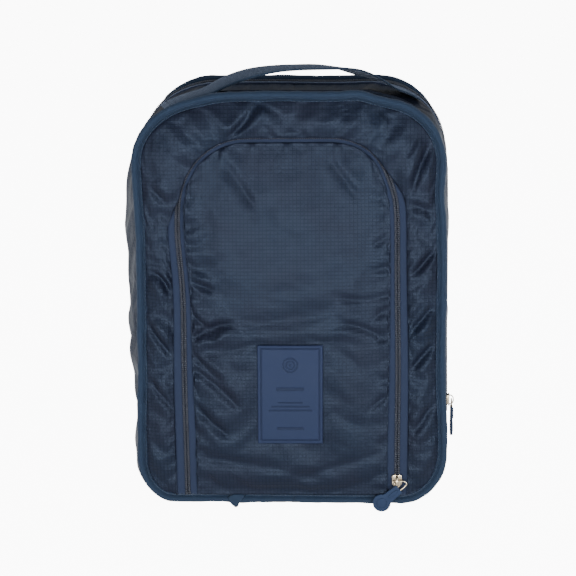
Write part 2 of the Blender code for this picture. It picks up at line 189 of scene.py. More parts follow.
def zip_shape():
    """The pocket zip's coil line, from the foot of the left leg over the arch to that of the right."""
    half, top, low = 0.0775, 0.2803, 0.0128
    size = (0.0490, 0.0490)
    line = np.concatenate([
        straight((-half, low), (-half, top - size[1]), 96),
        arc((-half + size[0], top - size[1]), size, 180, 90, 36, 2.12),
        straight((-half + size[0], top), (half - size[0], top), 24),
        arc((half - size[0], top - size[1]), size, 90, 0, 36, 2.12),
        straight((half, top - size[1]), (half, low), 96),
        [(half, low)],
    ])
    x, z = line[:, 0].copy(), line[:, 1]
    x -= ease(0.03, 0.07, -x) * (0.0034 * bump(z, 0.214, 0.034) + 0.0007 * bump(z, 0.10, 0.05))
    x -= ease(0.03, 0.06, x) * (0.0028 * bump(z, 0.250, 0.018) - 0.0007 * bump(z, 0.11, 0.05))
    return np.stack([x, z], 1)


FRONT, BACK, ZIP = front_shape(), back_shape(), zip_shape()
FRONT_OUT, BACK_OUT, ZIP_OUT = outward(FRONT, True), outward(BACK, True), outward(ZIP, False)
LEG, BEND, SPAN = 96, 36, 24


def arch_share():
    """1 on the arch of the pocket zip, where its outer tape hides under the cloth, and 0 down the legs."""
    z = ZIP[:, 1]
    left = ZIP[:, 0] < 0
    return np.where(left, ease(0.212, 0.240, z), ease(0.228, 0.264, z))


def dome(x, z):
    """How far the flap bulges out, with a soft edge where its zip holds it."""
    across = (np.abs(x) / 0.0715) ** 5
    along = (np.abs(z - 0.1430) / 0.1300) ** 5
    return 0.0062 * (1 - np.minimum(1.0, (across + along) ** 0.2) ** 2.4)


# ---------------------------------------------------------------- meshes


def new_object(name, places, faces, material, cloth=None):
    mesh = bpy.data.meshes.new(name)
    mesh.from_pydata([tuple(p) for p in places], [], [tuple(int(k) for k in f) for f in faces])
    mesh.materials.append(material)
    if cloth is not None:
        layer = mesh.attributes.new("cloth", "FLOAT_VECTOR", "POINT")
        flat = np.zeros((len(places), 3))
        flat[:, : cloth.shape[1]] = cloth
        layer.data.foreach_set("vector", flat.ravel())
    mesh.shade_smooth()
    obj = bpy.data.objects.new(name, mesh)
    SCENE.collection.objects.link(obj)
    return obj


def grid(name, places, cloth, material, closed=False, keep=None, facing=None):
    """A sheet through rows of points. facing is the side, as a vector, that its faces should look to."""
    rows, columns = places.shape[:2]
    index = np.arange(rows * columns).reshape(rows, columns)
    if closed:
        index = np.vstack([index, index[:1]])
    faces = np.stack([index[:-1, :-1], index[1:, :-1], index[1:, 1:], index[:-1, 1:]], -1)
    if keep is not None:
        faces = faces[keep]
    faces = faces.reshape(-1, 4)
    points = places.reshape(-1, 3)
    if facing is not None:
        a, b, c = (points[faces[:, k]] for k in (0, 1, 2))
        if (np.cross(b - a, c - a) @ np.array(facing)).sum() < 0:
            faces = faces[:, ::-1]
    used = np.unique(faces)
    lookup = np.zeros(len(points), int)
    lookup[used] = np.arange(len(used))
    cloth = cloth.reshape(-1, cloth.shape[-1])[used]
    return new_object(name, points[used], lookup[faces], material, cloth), used


def sweep(name, origin, across, out, section, material, closed=False, capped=True):
    """A solid swept along a line: section holds (across, out) pairs, the same or one set for each station."""
    count = len(origin)
    section = np.broadcast_to(section, (count, *np.shape(section)[-2:]))
    points = (
        origin[:, None] + across[:, None] * section[..., :1] + out[:, None] * section[..., 1:]
    )
    sides = section.shape[1]
    index = np.arange(count * sides).reshape(count, sides)
    wrapped = np.concatenate([index, index[:, :1]], 1)
    if closed:
        wrapped = np.vstack([wrapped, wrapped[:1]])
    faces = np.stack([wrapped[:-1, :-1], wrapped[:-1, 1:], wrapped[1:, 1:], wrapped[1:, :-1]], -1)
    faces = [tuple(f) for f in faces.reshape(-1, 4)]
    if capped and not closed:
        faces += [tuple(index[0][::-1]), tuple(index[-1])]
    along = lengths(origin)
    around = np.concatenate([[0], np.cumsum(np.linalg.norm(np.diff(section[0], axis=0), axis=1))])
    cloth = np.stack(np.broadcast_arrays(along[:, None], around[None, :]), -1).reshape(-1, 2)
    obj = new_object(name, points.reshape(-1, 3), faces, material, cloth)
    shape = bmesh.new()
    shape.from_mesh(obj.data)
    bmesh.ops.recalc_face_normals(shape, faces=shape.faces)
    shape.to_mesh(obj.data)
    shape.free()
    obj.data.shade_smooth()
    return obj


def stations(line, normals, y):
    """Places, directions across and directions out for a sweep that lies on a face of the bag."""
    y = np.broadcast_to(y, len(line))
    origin = np.stack([line[:, 0], y, line[:, 1]], 1)
    across = np.stack([normals[:, 0], 0 * y, normals[:, 1]], 1)
    return origin, across


def applied(obj):
    """Turns a piece's modifiers into its mesh."""
    bpy.context.view_layer.update()
    graph = bpy.context.evaluated_depsgraph_get()
    mesh = bpy.data.meshes.new_from_object(obj.evaluated_get(graph), depsgraph=graph)
    obj.modifiers.clear()
    old = obj.data
    obj.data = mesh
    bpy.data.meshes.remove(old)
    return obj


def settle(obj, hold, spare, press, bend=0.08, gravity=0.15):
    """Lets a sheet with a little spare cloth wrinkle between the places where hold is 1."""
    frames = 26
    group = obj.vertex_groups.new(name="held")
    for index in np.nonzero(hold > 0.01)[0]:
        group.add([int(index)], float(hold[index]), "REPLACE")
    cloth = obj.modifiers.new("cloth", "CLOTH")
    settings = cloth.settings
    settings.quality = 7
    settings.mass = 0.12
    settings.tension_stiffness = settings.compression_stiffness = 14
    settings.shear_stiffness = 6
    settings.bending_stiffness = bend
    settings.tension_damping = settings.compression_damping = 4
    settings.shear_damping = 4
    settings.bending_damping = 0.4
    settings.air_damping = 4
    settings.shrink_min = -spare
    settings.vertex_group_mass = "held"
    settings.use_pressure = True
    settings.uniform_pressure_force = press
    settings.effector_weights.gravity = gravity
    cloth.point_cache.frame_start, cloth.point_cache.frame_end = 1, frames
    for step in range(1, frames + 1):
        SCENE.frame_set(step)
    applied(obj)
    obj.vertex_groups.clear()
    SCENE.frame_set(1)
    return obj


def backed(obj, thickness):
    """Gives a sheet a thickness behind its face."""
    solid = obj.modifiers.new("thickness", "SOLIDIFY")
    solid.thickness, solid.offset = thickness, -1
    return applied(obj)


def smooth(obj):
    modifier = obj.modifiers.new("smooth", "SUBSURF")
    modifier.levels = modifier.render_levels = 1
    return applied(obj)


def thicken(obj):
    """Smooths a sheet of cloth and gives it its thickness."""
    backed(smooth(obj), CLOTH_THICKNESS)


def points_of(obj):
    flat = np.empty(3 * len(obj.data.vertices))
    obj.data.vertices.foreach_get("co", flat)
    return flat.reshape(-1, 3)


def move_points(obj, places):
    obj.data.vertices.foreach_set("co", np.asarray(places, float).ravel())
    obj.data.update()


def rounded(points, rounds=2):
    """Cuts the corners of a closed outline, again and again, until it is smooth."""
    points = np.asarray(points, float)
    for _ in range(rounds):
        following = np.roll(points, -1, 0)
        points = np.stack([0.75 * points + 0.25 * following, 0.25 * points + 0.75 * following], 1)
        points = points.reshape(-1, points.shape[-1])
    return points


def plate(name, outline, low, high, material, edge=0.0003, segments=2):
    """A flat shape in (x, z) between two depths below the front, low < high, with rounded rims."""
    shape = bmesh.new()
    front = [shape.verts.new((x, -high, z)) for x, z in outline]
    face = shape.faces.new(front)
    made = bmesh.ops.extrude_face_region(shape, geom=[face])
    moved = [v for v in made["geom"] if isinstance(v, bmesh.types.BMVert)]
    bmesh.ops.translate(shape, verts=moved, vec=(0, high - low, 0))
    bmesh.ops.recalc_face_normals(shape, faces=shape.faces)
    rims = [e for e in shape.edges if len(e.link_faces) == 2 and e.calc_face_angle() > math.radians(60)]
    bmesh.ops.bevel(shape, geom=rims, offset=edge, segments=segments, profile=0.6, affect="EDGES")
    mesh = bpy.data.meshes.new(name)
    shape.to_mesh(mesh)
    shape.free()
    mesh.materials.append(material)
    mesh.shade_smooth()
    mesh.set_sharp_from_angle(angle=math.radians(40))
    obj = bpy.data.objects.new(name, mesh)
    SCENE.collection.objects.link(obj)
    return obj


def wire(name, points, radius, material):
    """A round wire along a closed line."""
    curve = bpy.data.curves.new(name, "CURVE")
    curve.dimensions = "3D"
    curve.bevel_depth = radius
    curve.bevel_resolution = 4
    spline = curve.splines.new("POLY")
    spline.points.add(len(points) - 1)
    for target, point in zip(spline.points, points):
        target.co = (*point, 1.0)
    spline.use_cyclic_u = True
    holder = bpy.data.objects.new(name + "_line", curve)
    SCENE.collection.objects.link(holder)
    bpy.context.view_layer.update()
    graph = bpy.context.evaluated_depsgraph_get()
    mesh = bpy.data.meshes.new_from_object(holder.evaluated_get(graph))
    bpy.data.objects.remove(holder, do_unlink=True)
    mesh.name = name
    mesh.materials.clear()
    mesh.materials.append(material)
    mesh.shade_smooth()
    obj = bpy.data.objects.new(name, mesh)
    SCENE.collection.objects.link(obj)
    return obj


def joined(name, pieces):
    """Several small meshes as one piece."""
    shape = bmesh.new()
    for piece in pieces:
        shape.from_mesh(piece.data)
    mesh = bpy.data.meshes.new(name)
    for material in {m: None for piece in pieces for m in piece.data.materials}:
        mesh.materials.append(material)
    shape.to_mesh(mesh)
    shape.free()
    for piece in pieces:
        bpy.data.objects.remove(piece, do_unlink=True)
    obj = bpy.data.objects.new(name, mesh)
    SCENE.collection.objects.link(obj)
    return obj


# ---------------------------------------------------------------- materials


class Surface:
    """A Principled material with short ways to add and join nodes."""

    def __init__(self, name, colour, roughness, metallic=0.0, **more):
        self.material = bpy.data.materials.new(name)
        self.material.use_nodes = True
        self.tree = self.material.node_tree
        self.shader = self.tree.nodes["Principled BSDF"]
        self.set("Base Color", (*colour, 1.0))
        self.set("Roughness", roughness)
        self.set("Metallic", metallic)
        for key, value in more.items():
            self.set(key.replace("_", " "), value)
        self.height = None

    def set(self, socket, value):
        if isinstance(value, bpy.types.NodeSocket):
            self.tree.links.new(value, self.shader.inputs[socket])
        else:
            self.shader.inputs[socket].default_value = value

    def add(self, kind, *inputs, **fields):
        node = self.tree.nodes.new(kind)
        for field, value in fields.items():
            setattr(node, field, value)
        for place, value in enumerate(inputs):
            if value is None:
                continue
            if isinstance(value, bpy.types.NodeSocket):
                self.tree.links.new(value, node.inputs[place])
            else:
                node.inputs[place].default_value = value
        return node

    def math(self, operation, *values):
        return self.add("ShaderNodeMath", *values, operation=operation).outputs[0]

    def cloth(self):
        """The cloth's own coordinates, in metres, as two numbers and as a vector."""
        node = self.add("ShaderNodeAttribute", attribute_name="cloth", attribute_type="GEOMETRY")
        vector = node.outputs["Vector"]
        parts = self.add("ShaderNodeSeparateXYZ", vector)
        return parts.outputs[0], parts.outputs[1], vector

    def place(self):
        return self.add("ShaderNodeTexCoord").outputs["Object"]

    def noise(self, vector, scale, detail=2.0, roughness=0.5):
        node = self.add("ShaderNodeTexNoise")
        self.tree.links.new(vector, node.inputs["Vector"])
        node.inputs["Scale"].default_value = scale
        node.inputs["Detail"].default_value = detail
        node.inputs["Roughness"].default_value = roughness
        return node.outputs["Fac"]

    def stripes(self, value, pitch):
        """A smooth wave from 0 to 1 with one crest to each pitch."""
        turns = self.math("MULTIPLY", value, 2 * math.pi / pitch)
        return self.math("MULTIPLY_ADD", self.math("SINE", turns), 0.5, 0.5)

    def lines(self, value, pitch, share):
        """Thin lines, 1 on the line, one to each pitch."""
        cell = self.math("FRACT", self.math("DIVIDE", value, pitch))
        away = self.math("ABSOLUTE", self.math("SUBTRACT", cell, 0.5))
        ramp = self.add("ShaderNodeMapRange", away, 0.5 - share, 0.5 - 0.3 * share, 0.0, 1.0)
        ramp.interpolation_type = "SMOOTHSTEP"
        return ramp.outputs[0]

    def spread(self, fac, low, high):
        return self.add("ShaderNodeMapRange", fac, 0.25, 0.75, low, high).outputs[0]

    def mix(self, fac, one, two):
        node = self.tree.nodes.new("ShaderNodeMix")
        node.data_type = "RGBA"
        for socket, value in ((node.inputs[0], fac), (node.inputs[6], one), (node.inputs[7], two)):
            if isinstance(value, bpy.types.NodeSocket):
                self.tree.links.new(value, socket)
            else:
                socket.default_value = value if isinstance(value, float) else (*value, 1.0)
        return node.outputs[2]

    def raise_by(self, height, distance, strength=1.0):
        """Adds a bump of that height in metres, on top of any earlier one."""
        node = self.add("ShaderNodeBump")
        node.inputs["Strength"].default_value = strength
        node.inputs["Distance"].default_value = distance
        self.tree.links.new(height, node.inputs["Height"])
        if self.height is not None:
            self.tree.links.new(self.height, node.inputs["Normal"])
        self.height = node.outputs[0]
        self.set("Normal", self.height)


def nylon(name, colour, dusky, roughness, grid_depth, sheen):
    """Thin coated nylon with a ripstop grid, a fine weave and a soft, slightly crumpled sheen."""
    made = Surface(
        name, colour, roughness, IOR=1.27, Specular_IOR_Level=0.64, Specular_Tint=(0.52, 0.68, 0.96, 1.0),
    )
    u, v, vector = made.cloth()
    ripstop = made.math("MAXIMUM", made.lines(u, 0.0027, 0.19), made.lines(v, 0.0027, 0.19))
    broad = made.noise(vector, 26.0, 3.0, 0.55)
    fine = made.noise(vector, 160.0, 2.0, 0.6)
    tone = made.mix(made.spread(broad, 0.0, 1.0), colour, dusky)
    darker = tuple(0.5 * c for c in colour)
    made.set("Base Color", made.mix(made.math("MULTIPLY", ripstop, 0.75), tone, darker))
    patchy = made.spread(broad, roughness - 0.05, roughness + 0.06)
    made.set("Roughness", made.math("ADD", patchy, made.spread(fine, -0.03, 0.03)))
    made.set("Sheen Weight", sheen)
    made.set("Sheen Roughness", 0.45)
    made.set("Sheen Tint", (0.62, 0.68, 0.85, 1.0))
    made.raise_by(made.noise(vector, 75.0, 4.0, 0.6), 0.00055, 0.75)
    made.raise_by(made.noise(vector, 240.0, 2.0, 0.6), 0.00012, 0.6)
    weave = made.math("MULTIPLY", made.stripes(u, 0.00045), made.stripes(v, 0.00045))
    made.raise_by(weave, 0.00006, 0.5)
    made.raise_by(ripstop, grid_depth, 0.8)
    return made.material


def woven(name, colour, light, roughness, pitch, depth, slant, sheen=0.25):
    """Woven tape: slanting ribs, a little mottling, and painted shade in the low gaps between threads, which
    leaves the high threads paler.
    """
    made = Surface(
        name, colour, roughness, IOR=1.25, Specular_IOR_Level=0.5, Specular_Tint=(0.6, 0.75, 1.0, 1.0),
    )
    u, v, vector = made.cloth()
    slanted = made.math("ADD", u, made.math("MULTIPLY", v, slant))
    ribs = made.stripes(slanted, pitch)
    cross = made.stripes(v, 0.62 * pitch)
    threads = made.math("MULTIPLY", ribs, made.math("MULTIPLY_ADD", cross, 0.5, 0.5))
    mottled = made.noise(vector, 120.0, 3.0, 0.6)
    tone = made.mix(made.spread(mottled, 0.0, 1.0), colour, light)
    # Painted shade: the low gaps between the threads are darkened towards this colour.
    thread_gap_shade = tuple(0.6 * c for c in colour)
    made.set("Base Color", made.mix(threads, made.mix(0.5, tone, thread_gap_shade), tone))
    made.set("Roughness", made.spread(mottled, roughness - 0.06, roughness + 0.08))
    made.set("Sheen Weight", sheen)
    made.set("Sheen Roughness", 0.5)
    made.set("Sheen Tint", (0.6, 0.7, 0.9, 1.0))
    made.raise_by(made.noise(vector, 60.0, 3.0, 0.55), 0.00045, 0.7)
    made.raise_by(threads, depth, 0.8)
    return made.material


def moulded(name, colour, light, roughness, pressed=0.0):
    """Soft moulded rubber: fine matt grain, faint handling marks and painted shade in its pressed lines."""
    made = Surface(name, colour, roughness, Specular_IOR_Level=0.22, Specular_Tint=(0.6, 0.75, 1.0, 1.0))
    place = made.place()
    marks = made.noise(place, 55.0, 4.0, 0.6)
    grain = made.noise(place, 1500.0, 2.0, 0.6)
    tone = made.mix(made.spread(marks, 0.0, 1.0), colour, light)
    if pressed:
        # Painted shade: the cloth attribute's third number, called depth here, darkens the label's pressed
        # lines and frame groove.
        depth = made.add("ShaderNodeSeparateXYZ", made.cloth()[2]).outputs[2]
        tone = made.mix(made.math("MULTIPLY", depth, pressed), tone, tuple(0.35 * c for c in colour))
    made.set("Base Color", tone)
    made.set("Roughness", made.spread(marks, roughness - 0.07, roughness + 0.08))
    made.raise_by(grain, 0.00004, 0.6)
    return made.material


def metal(name, colour, worn, roughness):
    """Plated die-cast metal with small scuffs."""
    made = Surface(name, colour, roughness, metallic=1.0)
    place = made.place()
    scuffs = made.noise(place, 420.0, 4.0, 0.7)
    made.set("Base Color", made.mix(made.spread(scuffs, 0.0, 1.0), colour, worn))
    made.set("Roughness", made.spread(scuffs, roughness - 0.08, roughness + 0.14))
    made.raise_by(made.noise(place, 900.0, 3.0, 0.6), 0.00003, 0.5)
    return made.material


def plastic(name, colour, light, roughness):
    """Smooth plastic, slightly uneven in tone and shine."""
    made = Surface(name, colour, roughness, Specular_IOR_Level=0.5)
    tint = made.noise(made.place(), 300.0, 2.0, 0.5)
    made.set("Base Color", made.mix(made.spread(tint, 0.0, 1.0), colour, light))
    made.set("Roughness", made.spread(tint, roughness - 0.05, roughness + 0.08))
    return made.material


NYLON = nylon("nylon_ripstop", (0.0056, 0.0088, 0.0190), (0.0092, 0.0096, 0.0190), 0.37, 0.00010, 0.02)
LINING = nylon("nylon_lining", (0.0110, 0.0150, 0.0270), (0.0140, 0.0160, 0.0270), 0.60, 0.00003, 0.05)
TAPE = woven("zip_tape_weave", (0.0150, 0.0215, 0.0460), (0.0195, 0.0270, 0.0530), 0.78, 0.0011, 0.00012, 1.0)
BINDING = woven(
    "binding_weave", (0.0115, 0.0215, 0.0430), (0.0170, 0.0285, 0.0510), 0.66, 0.0007, 0.00008, 0.35, 0.12,
)
WEBBING = woven(
    "strap_webbing", (0.0120, 0.0225, 0.0430), (0.0165, 0.0285, 0.0520), 0.76, 0.0013, 0.00022, 0.0,
)
COIL = plastic("zip_coil_nylon", (0.0270, 0.0325, 0.0480), (0.0340, 0.0370, 0.0510), 0.42)
THREAD = woven("sewing_thread", (0.0150, 0.0230, 0.0440), (0.0200, 0.0290, 0.0520), 0.6, 0.0006, 0.00005, 2.0)
METAL = metal("slider_plating", (0.60, 0.50, 0.35), (0.42, 0.36, 0.27), 0.24)
RUBBER = moulded("pull_rubber", (0.0105, 0.0195, 0.0470), (0.0130, 0.0235, 0.0540), 0.50)
# The label's last number sets how strong the painted shade in its pressed lines is.
LABEL = moulded("label_rubber", (0.0108, 0.0163, 0.0420), (0.0120, 0.0180, 0.0455), 0.55, 0.60)


# ---------------------------------------------------------------- front cloth


def front_cloth():
    """The fixed cloth of the front, a band between the pocket zip and the edge binding."""
    bottom, low, side, high, top = COUNTS
    seam = FRONT - 0.0036 * FRONT_OUT
    hem = (0.0078 - 0.0010 * ease(0.08, 0.20, ZIP[:, 1])) * (1 - arch_share()) - 0.0012 * arch_share()
    inner = ZIP + hem[:, None] * ZIP_OUT
    start = bottom + int(np.argmin(np.abs(seam[bottom : bottom + low, 0] - inner[0, 0])))
    left_top, left_end = bottom + low + side, bottom + low + side + high
    corner = len(seam) - bottom - low
    finish = corner + int(np.argmin(np.abs(seam[corner : corner + low, 0] - inner[-1, 0])))
    right_start = left_end + 2 * top
    pieces = [
        resample(seam[start : left_top + 1], LEG + 1)[:-1],
        resample(seam[left_top : left_end + 1], BEND + 1)[:-1],
        resample(seam[left_end : right_start + 1], SPAN + 1)[:-1],
        resample(seam[right_start : right_start + high + 1], BEND + 1)[:-1],
        resample(seam[right_start + high : finish + 1], LEG + 1),
    ]
    outer = np.concatenate(pieces)
    steps = 16
    t = np.linspace(0, 1, steps + 1)[None, :, None]
    flat = inner[:, None] * (1 - t) + outer[:, None] * t
    x, z = flat[..., 0], flat[..., 1]
    t = t[..., 0]
    bulge = 0.0030 * np.sin(np.pi * t) ** 0.8 * ease(0.010, 0.045, z)
    y = -(0.0616 + 0.0011 * arch_share()[:, None]) * (1 - t) - 0.0598 * t - bulge
    along = lengths(ZIP)[:, None]
    pucker = ripple(np.stack(np.broadcast_arrays(along, 0.4 * t * 0.02), -1), 5, 0.013)
    y += 0.00075 * pucker * (np.exp(-t / 0.20) + 0.8 * np.exp(-(1 - t) / 0.16)) * (t > 0) * (t < 1)
    slanted = ripple(np.stack([1.2 * np.abs(x) - 0.9 * z, 0.25 * (np.abs(x) + z)], -1), 9, 0.022)
    y += 0.0011 * slanted * np.sin(np.pi * t)
    for from_, to, width, depth, bow in FRONT_CREASES:
        y += crease(x, z, from_, to, width, depth, bow) * np.clip(4 * t, 0, 1) * np.clip(4 * (1 - t), 0, 1)
    places = np.stack([x, y, z], -1)
    obj, used = grid("front_cloth", places, flat, NYLON, facing=(0, -1, 0))
    hold = np.zeros(x.shape)
    hold[:, 0] = hold[:, -1] = hold[0] = hold[-1] = 1
    settle(obj, hold.ravel()[used], 0.012, press=0.6, gravity=0.05)
    thicken(obj)
    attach(obj, "shell")
    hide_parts("front_surround")


FRONT_CREASES = [
    ((-0.0225, 0.3035), (-0.0420, 0.2800), 0.0021, 0.0042, 0.05),
    ((0.0380, 0.3040), (0.0412, 0.2945), 0.0013, 0.0022, 0.0),
    ((0.0640, 0.3000), (0.0735, 0.2920), 0.0015, 0.0024, 0.0),
    ((-0.0180, 0.3035), (-0.0080, 0.2960), 0.0018, 0.0022, 0.0),
    ((0.0905, 0.2780), (0.0850, 0.2665), 0.0014, 0.0020, 0.0),
    ((0.1030, 0.2760), (0.0890, 0.2420), 0.0030, 0.0046, -0.05),
    ((0.0890, 0.2300), (0.1020, 0.2260), 0.0022, 0.0030, 0.0),
    ((0.1035, 0.1960), (0.0895, 0.1800), 0.0022, 0.0028, 0.0),
    ((0.1035, 0.1560), (0.0890, 0.1380), 0.0024, 0.0032, 0.0),
    ((0.1040, 0.1290), (0.0880, 0.1090), 0.0024, 0.0030, 0.0),
    ((0.1020, 0.0800), (0.0890, 0.0600), 0.0024, 0.0024, 0.0),
    ((-0.1020, 0.1820), (-0.0870, 0.1640), 0.0020, 0.0030, 0.12),
    ((-0.1025, 0.1400), (-0.0860, 0.1180), 0.0026, 0.0034, 0.0),
    ((-0.1030, 0.1000), (-0.0880, 0.0800), 0.0024, 0.0026, 0.0),
    ((-0.0990, 0.2440), (-0.0880, 0.2320), 0.0022, 0.0022, 0.0),
    ((-0.0900, 0.2960), (-0.0800, 0.2880), 0.0018, 0.0018, 0.0),
]


# ---------------------------------------------------------------- pocket flap


def flap_edge():
    """The flap's sewn edge from the foot of the left leg to that of the right leg."""
    inset = 0.0050 + 0.0022 * (1 - ease(0.05, 0.20, ZIP[:, 1])) - 0.0006 * arch_share()
    return ZIP - inset[:, None] * ZIP_OUT


def flap_cloth():
    """The pocket's flap, in one piece with the sill below its fold."""
    edge = flap_edge()
    low = 0.0132
    left, right = edge[: LEG + 1], edge[-LEG - 1 :][::-1]

    def side(line, z):
        return np.interp(z, line[:, 1], line[:, 0])

    curve = edge[LEG : -LEG]
    at_left, at_right = side(left, curve[:, 1]), side(right, curve[:, 1])
    share = (curve[:, 0] - at_left) / (at_right - at_left)
    order = np.argsort(share)
    t = np.linspace(0, 1, 109)
    u = t - 0.8 * np.sin(2 * np.pi * t) / (2 * np.pi)
    u[0], u[-1] = 0, 1
    top = np.interp(u, share[order], curve[order, 1])
    v = np.linspace(0, 1, 127)
    z = low + v[:, None] * (top[None, :] - low)
    x = side(left, z) * (1 - u) + side(right, z) * u
    y = FLAP_FRONT - dome(x, z)
    to_side = np.minimum(x - side(left, z), side(right, z) - x)
    to_top = np.maximum(np.interp(x, curve[order, 0], curve[order, 1]) - z, 0)
    gathers = ripple(np.stack([x, 0.10 * z], -1), 21, 0.0080)
    y += 0.0017 * gathers * np.exp(-to_top / 0.0075) * ease(0, 0.0020, to_top)
    ticks = ripple(np.stack([z + 0.35 * np.abs(x), 0.1 * x], -1), 23, 0.0120)
    y += 0.0014 * ticks * np.exp(-to_side / 0.0080) * ease(0, 0.0015, to_side)
    y += 0.0016 * bump(z, 0.0165, 0.0035) * ease(0, 0.010, to_side)
    y += 0.0004 * ripple(np.stack([x, z], -1), 31, 0.030)
    for from_, to, width, depth, bow in FLAP_CREASES:
        y += crease(x, z, from_, to, width, depth, bow) * ease(0, 0.003, to_side) * ease(0, 0.003, to_top)
    label_x = np.abs(x - LABEL_CENTRE[0]) < 0.5 * LABEL_SIZE[0] + 0.001
    label_z = np.abs(z - LABEL_CENTRE[1]) < 0.5 * LABEL_SIZE[1] + 0.001
    on_label = label_x & label_z
    y = np.where(on_label, FLAP_FRONT - dome(x, z), y)
    places = np.stack([x, y, z], -1)
    flat = np.stack([x, z], -1)
    obj, used = grid("flap_cloth", places, flat, NYLON, facing=(0, -1, 0))
    hold = np.zeros(x.shape)
    hold[0] = hold[-1] = hold[:, 0] = hold[:, -1] = 1
    hold[on_label] = 1
    settle(obj, hold.ravel()[used], 0.0045, press=1.0, bend=0.12, gravity=0.03)
    # In front of its tape, and clear of the pull when the slider runs up the right leg
    settled = points_of(obj)
    settled[:, 1] = np.minimum(settled[:, 1], -0.0613)
    clear = 0.0630 + 0.0070 * (1 - ease(0.034, 0.0600, settled[:, 0]))
    softness = 0.0008
    settled[:, 1] += 0.85 * softness * np.log1p(np.exp((-settled[:, 1] - clear) / softness))
    move_points(obj, settled)
    thicken(obj)
    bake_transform(obj)
    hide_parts("flap_panel", "front_sill")


FLAP_CREASES = [
    ((0.0700, 0.2080), (0.0600, 0.2010), 0.0018, 0.0020, 0.0),
    ((0.0705, 0.1860), (0.0560, 0.1840), 0.0018, 0.0020, 0.1),
    ((0.0710, 0.1560), (0.0580, 0.1450), 0.0020, 0.0022, 0.0),
    ((0.0710, 0.1340), (0.0600, 0.1290), 0.0017, 0.0018, 0.0),
    ((-0.0710, 0.1750), (-0.0560, 0.1690), 0.0020, 0.0022, 0.0),
    ((-0.0715, 0.1500), (-0.0590, 0.1400), 0.0018, 0.0018, 0.0),
    ((-0.0700, 0.1180), (-0.0500, 0.1010), 0.0024, 0.0022, 0.0),
    ((-0.0700, 0.0800), (-0.0480, 0.0600), 0.0030, 0.0026, 0.0),
    ((0.0705, 0.0900), (0.0560, 0.0780), 0.0024, 0.0022, 0.0),
    ((-0.0620, 0.0420), (0.0200, 0.0260), 0.0040, 0.0018, 0.03),
    ((0.0640, 0.0450), (0.0100, 0.0300), 0.0036, 0.0016, 0.0),
    ((-0.0700, 0.1330), (-0.0430, 0.1450), 0.0026, 0.0030, 0.06),
    ((0.0700, 0.1300), (0.0390, 0.1450), 0.0026, 0.0028, -0.06),
    ((0.0700, 0.1640), (0.0380, 0.1630), 0.0022, 0.0022, 0.05),
    ((-0.0690, 0.1080), (-0.0400, 0.0820), 0.0030, 0.0026, 0.05),
    ((-0.0450, 0.2600), (-0.0250, 0.2300), 0.0028, 0.0016, 0.0),
    ((0.0300, 0.2620), (0.0480, 0.2380), 0.0026, 0.0014, 0.0),
]


# ---------------------------------------------------------------- gusset, lid strip, back and divider

SIDE_PROFILE = ((-0.0560, 0.0), (-0.045, 0.50), (-0.034, 0.85), (-0.022, 1.0), (0.010, 1.0), (0.0262, 0.8),
                (0.0440, 0.8), (0.049, 0.50), (0.0560, 0.0))
BASE_PROFILE = ((-0.0560, 0.0), (-0.042, 0.50), (-0.028, 1.0), (0.028, 1.0), (0.042, 0.50), (0.0560, 0.0))


def wall(depths):
    """Points of the bag's side wall at the given depths, for each station of the seam loops."""
    share = ((depths + DEPTH) / (2 * DEPTH))[None, :, None]
    line = FRONT[:, None] * (1 - share) + BACK[:, None] * share
    normal = FRONT_OUT[:, None] * (1 - share) + BACK_OUT[:, None] * share
    normal /= np.linalg.norm(normal, axis=-1, keepdims=True)
    x, z = line[..., 0], line[..., 1]
    left = 0.0088 * (1 - 0.6 * ease(0.225, 0.275, z))
    left += 0.0048 * bump(z, 0.217, 0.040) + 0.0050 * bump(z, 0.140, 0.034)
    behind = ease(0.004, 0.026, depths)[None] * (1 - ease(0.235, 0.275, z))
    right = 0.0030 + 0.0008 * bump(z, 0.272, 0.026) + 0.0047 * behind
    amount = np.where(x < 0, left, right) * normal[..., 0] ** 2
    down = np.clip(-normal[..., 1], 0, 1)
    sides = np.interp(depths, *zip(*SIDE_PROFILE))[None]
    base = np.interp(depths, *zip(*BASE_PROFILE))[None]
    floor = line[..., 1] * down**2
    out = (amount + floor * (down > 0)) * ((1 - down) * sides + down * base)
    flat = line + normal * out[..., None]
    flat[..., 1] = np.maximum(flat[..., 1], 0.0004)
    y = np.broadcast_to(depths[None], x.shape)
    return np.stack([flat[..., 0], y, flat[..., 1]], -1), normal


def wall_cloth(depths):
    """Flat coordinates of the side wall: the way round it, and the depth."""
    along = lengths(np.vstack([FRONT, FRONT[:1]]))[:-1]
    return np.stack(np.broadcast_arrays(along[:, None], depths[None, :]), -1)


def fold_rows():
    """The stations of the seam loops nearest the lid's fold, on the left and on the right."""
    middle = 0.5 * (FRONT[:, 1] + BACK[:, 1])
    half = len(middle) // 2
    away = np.abs(middle - FOLD_LID)
    return int(np.argmin(away[:half])), half + int(np.argmin(away[half:]))


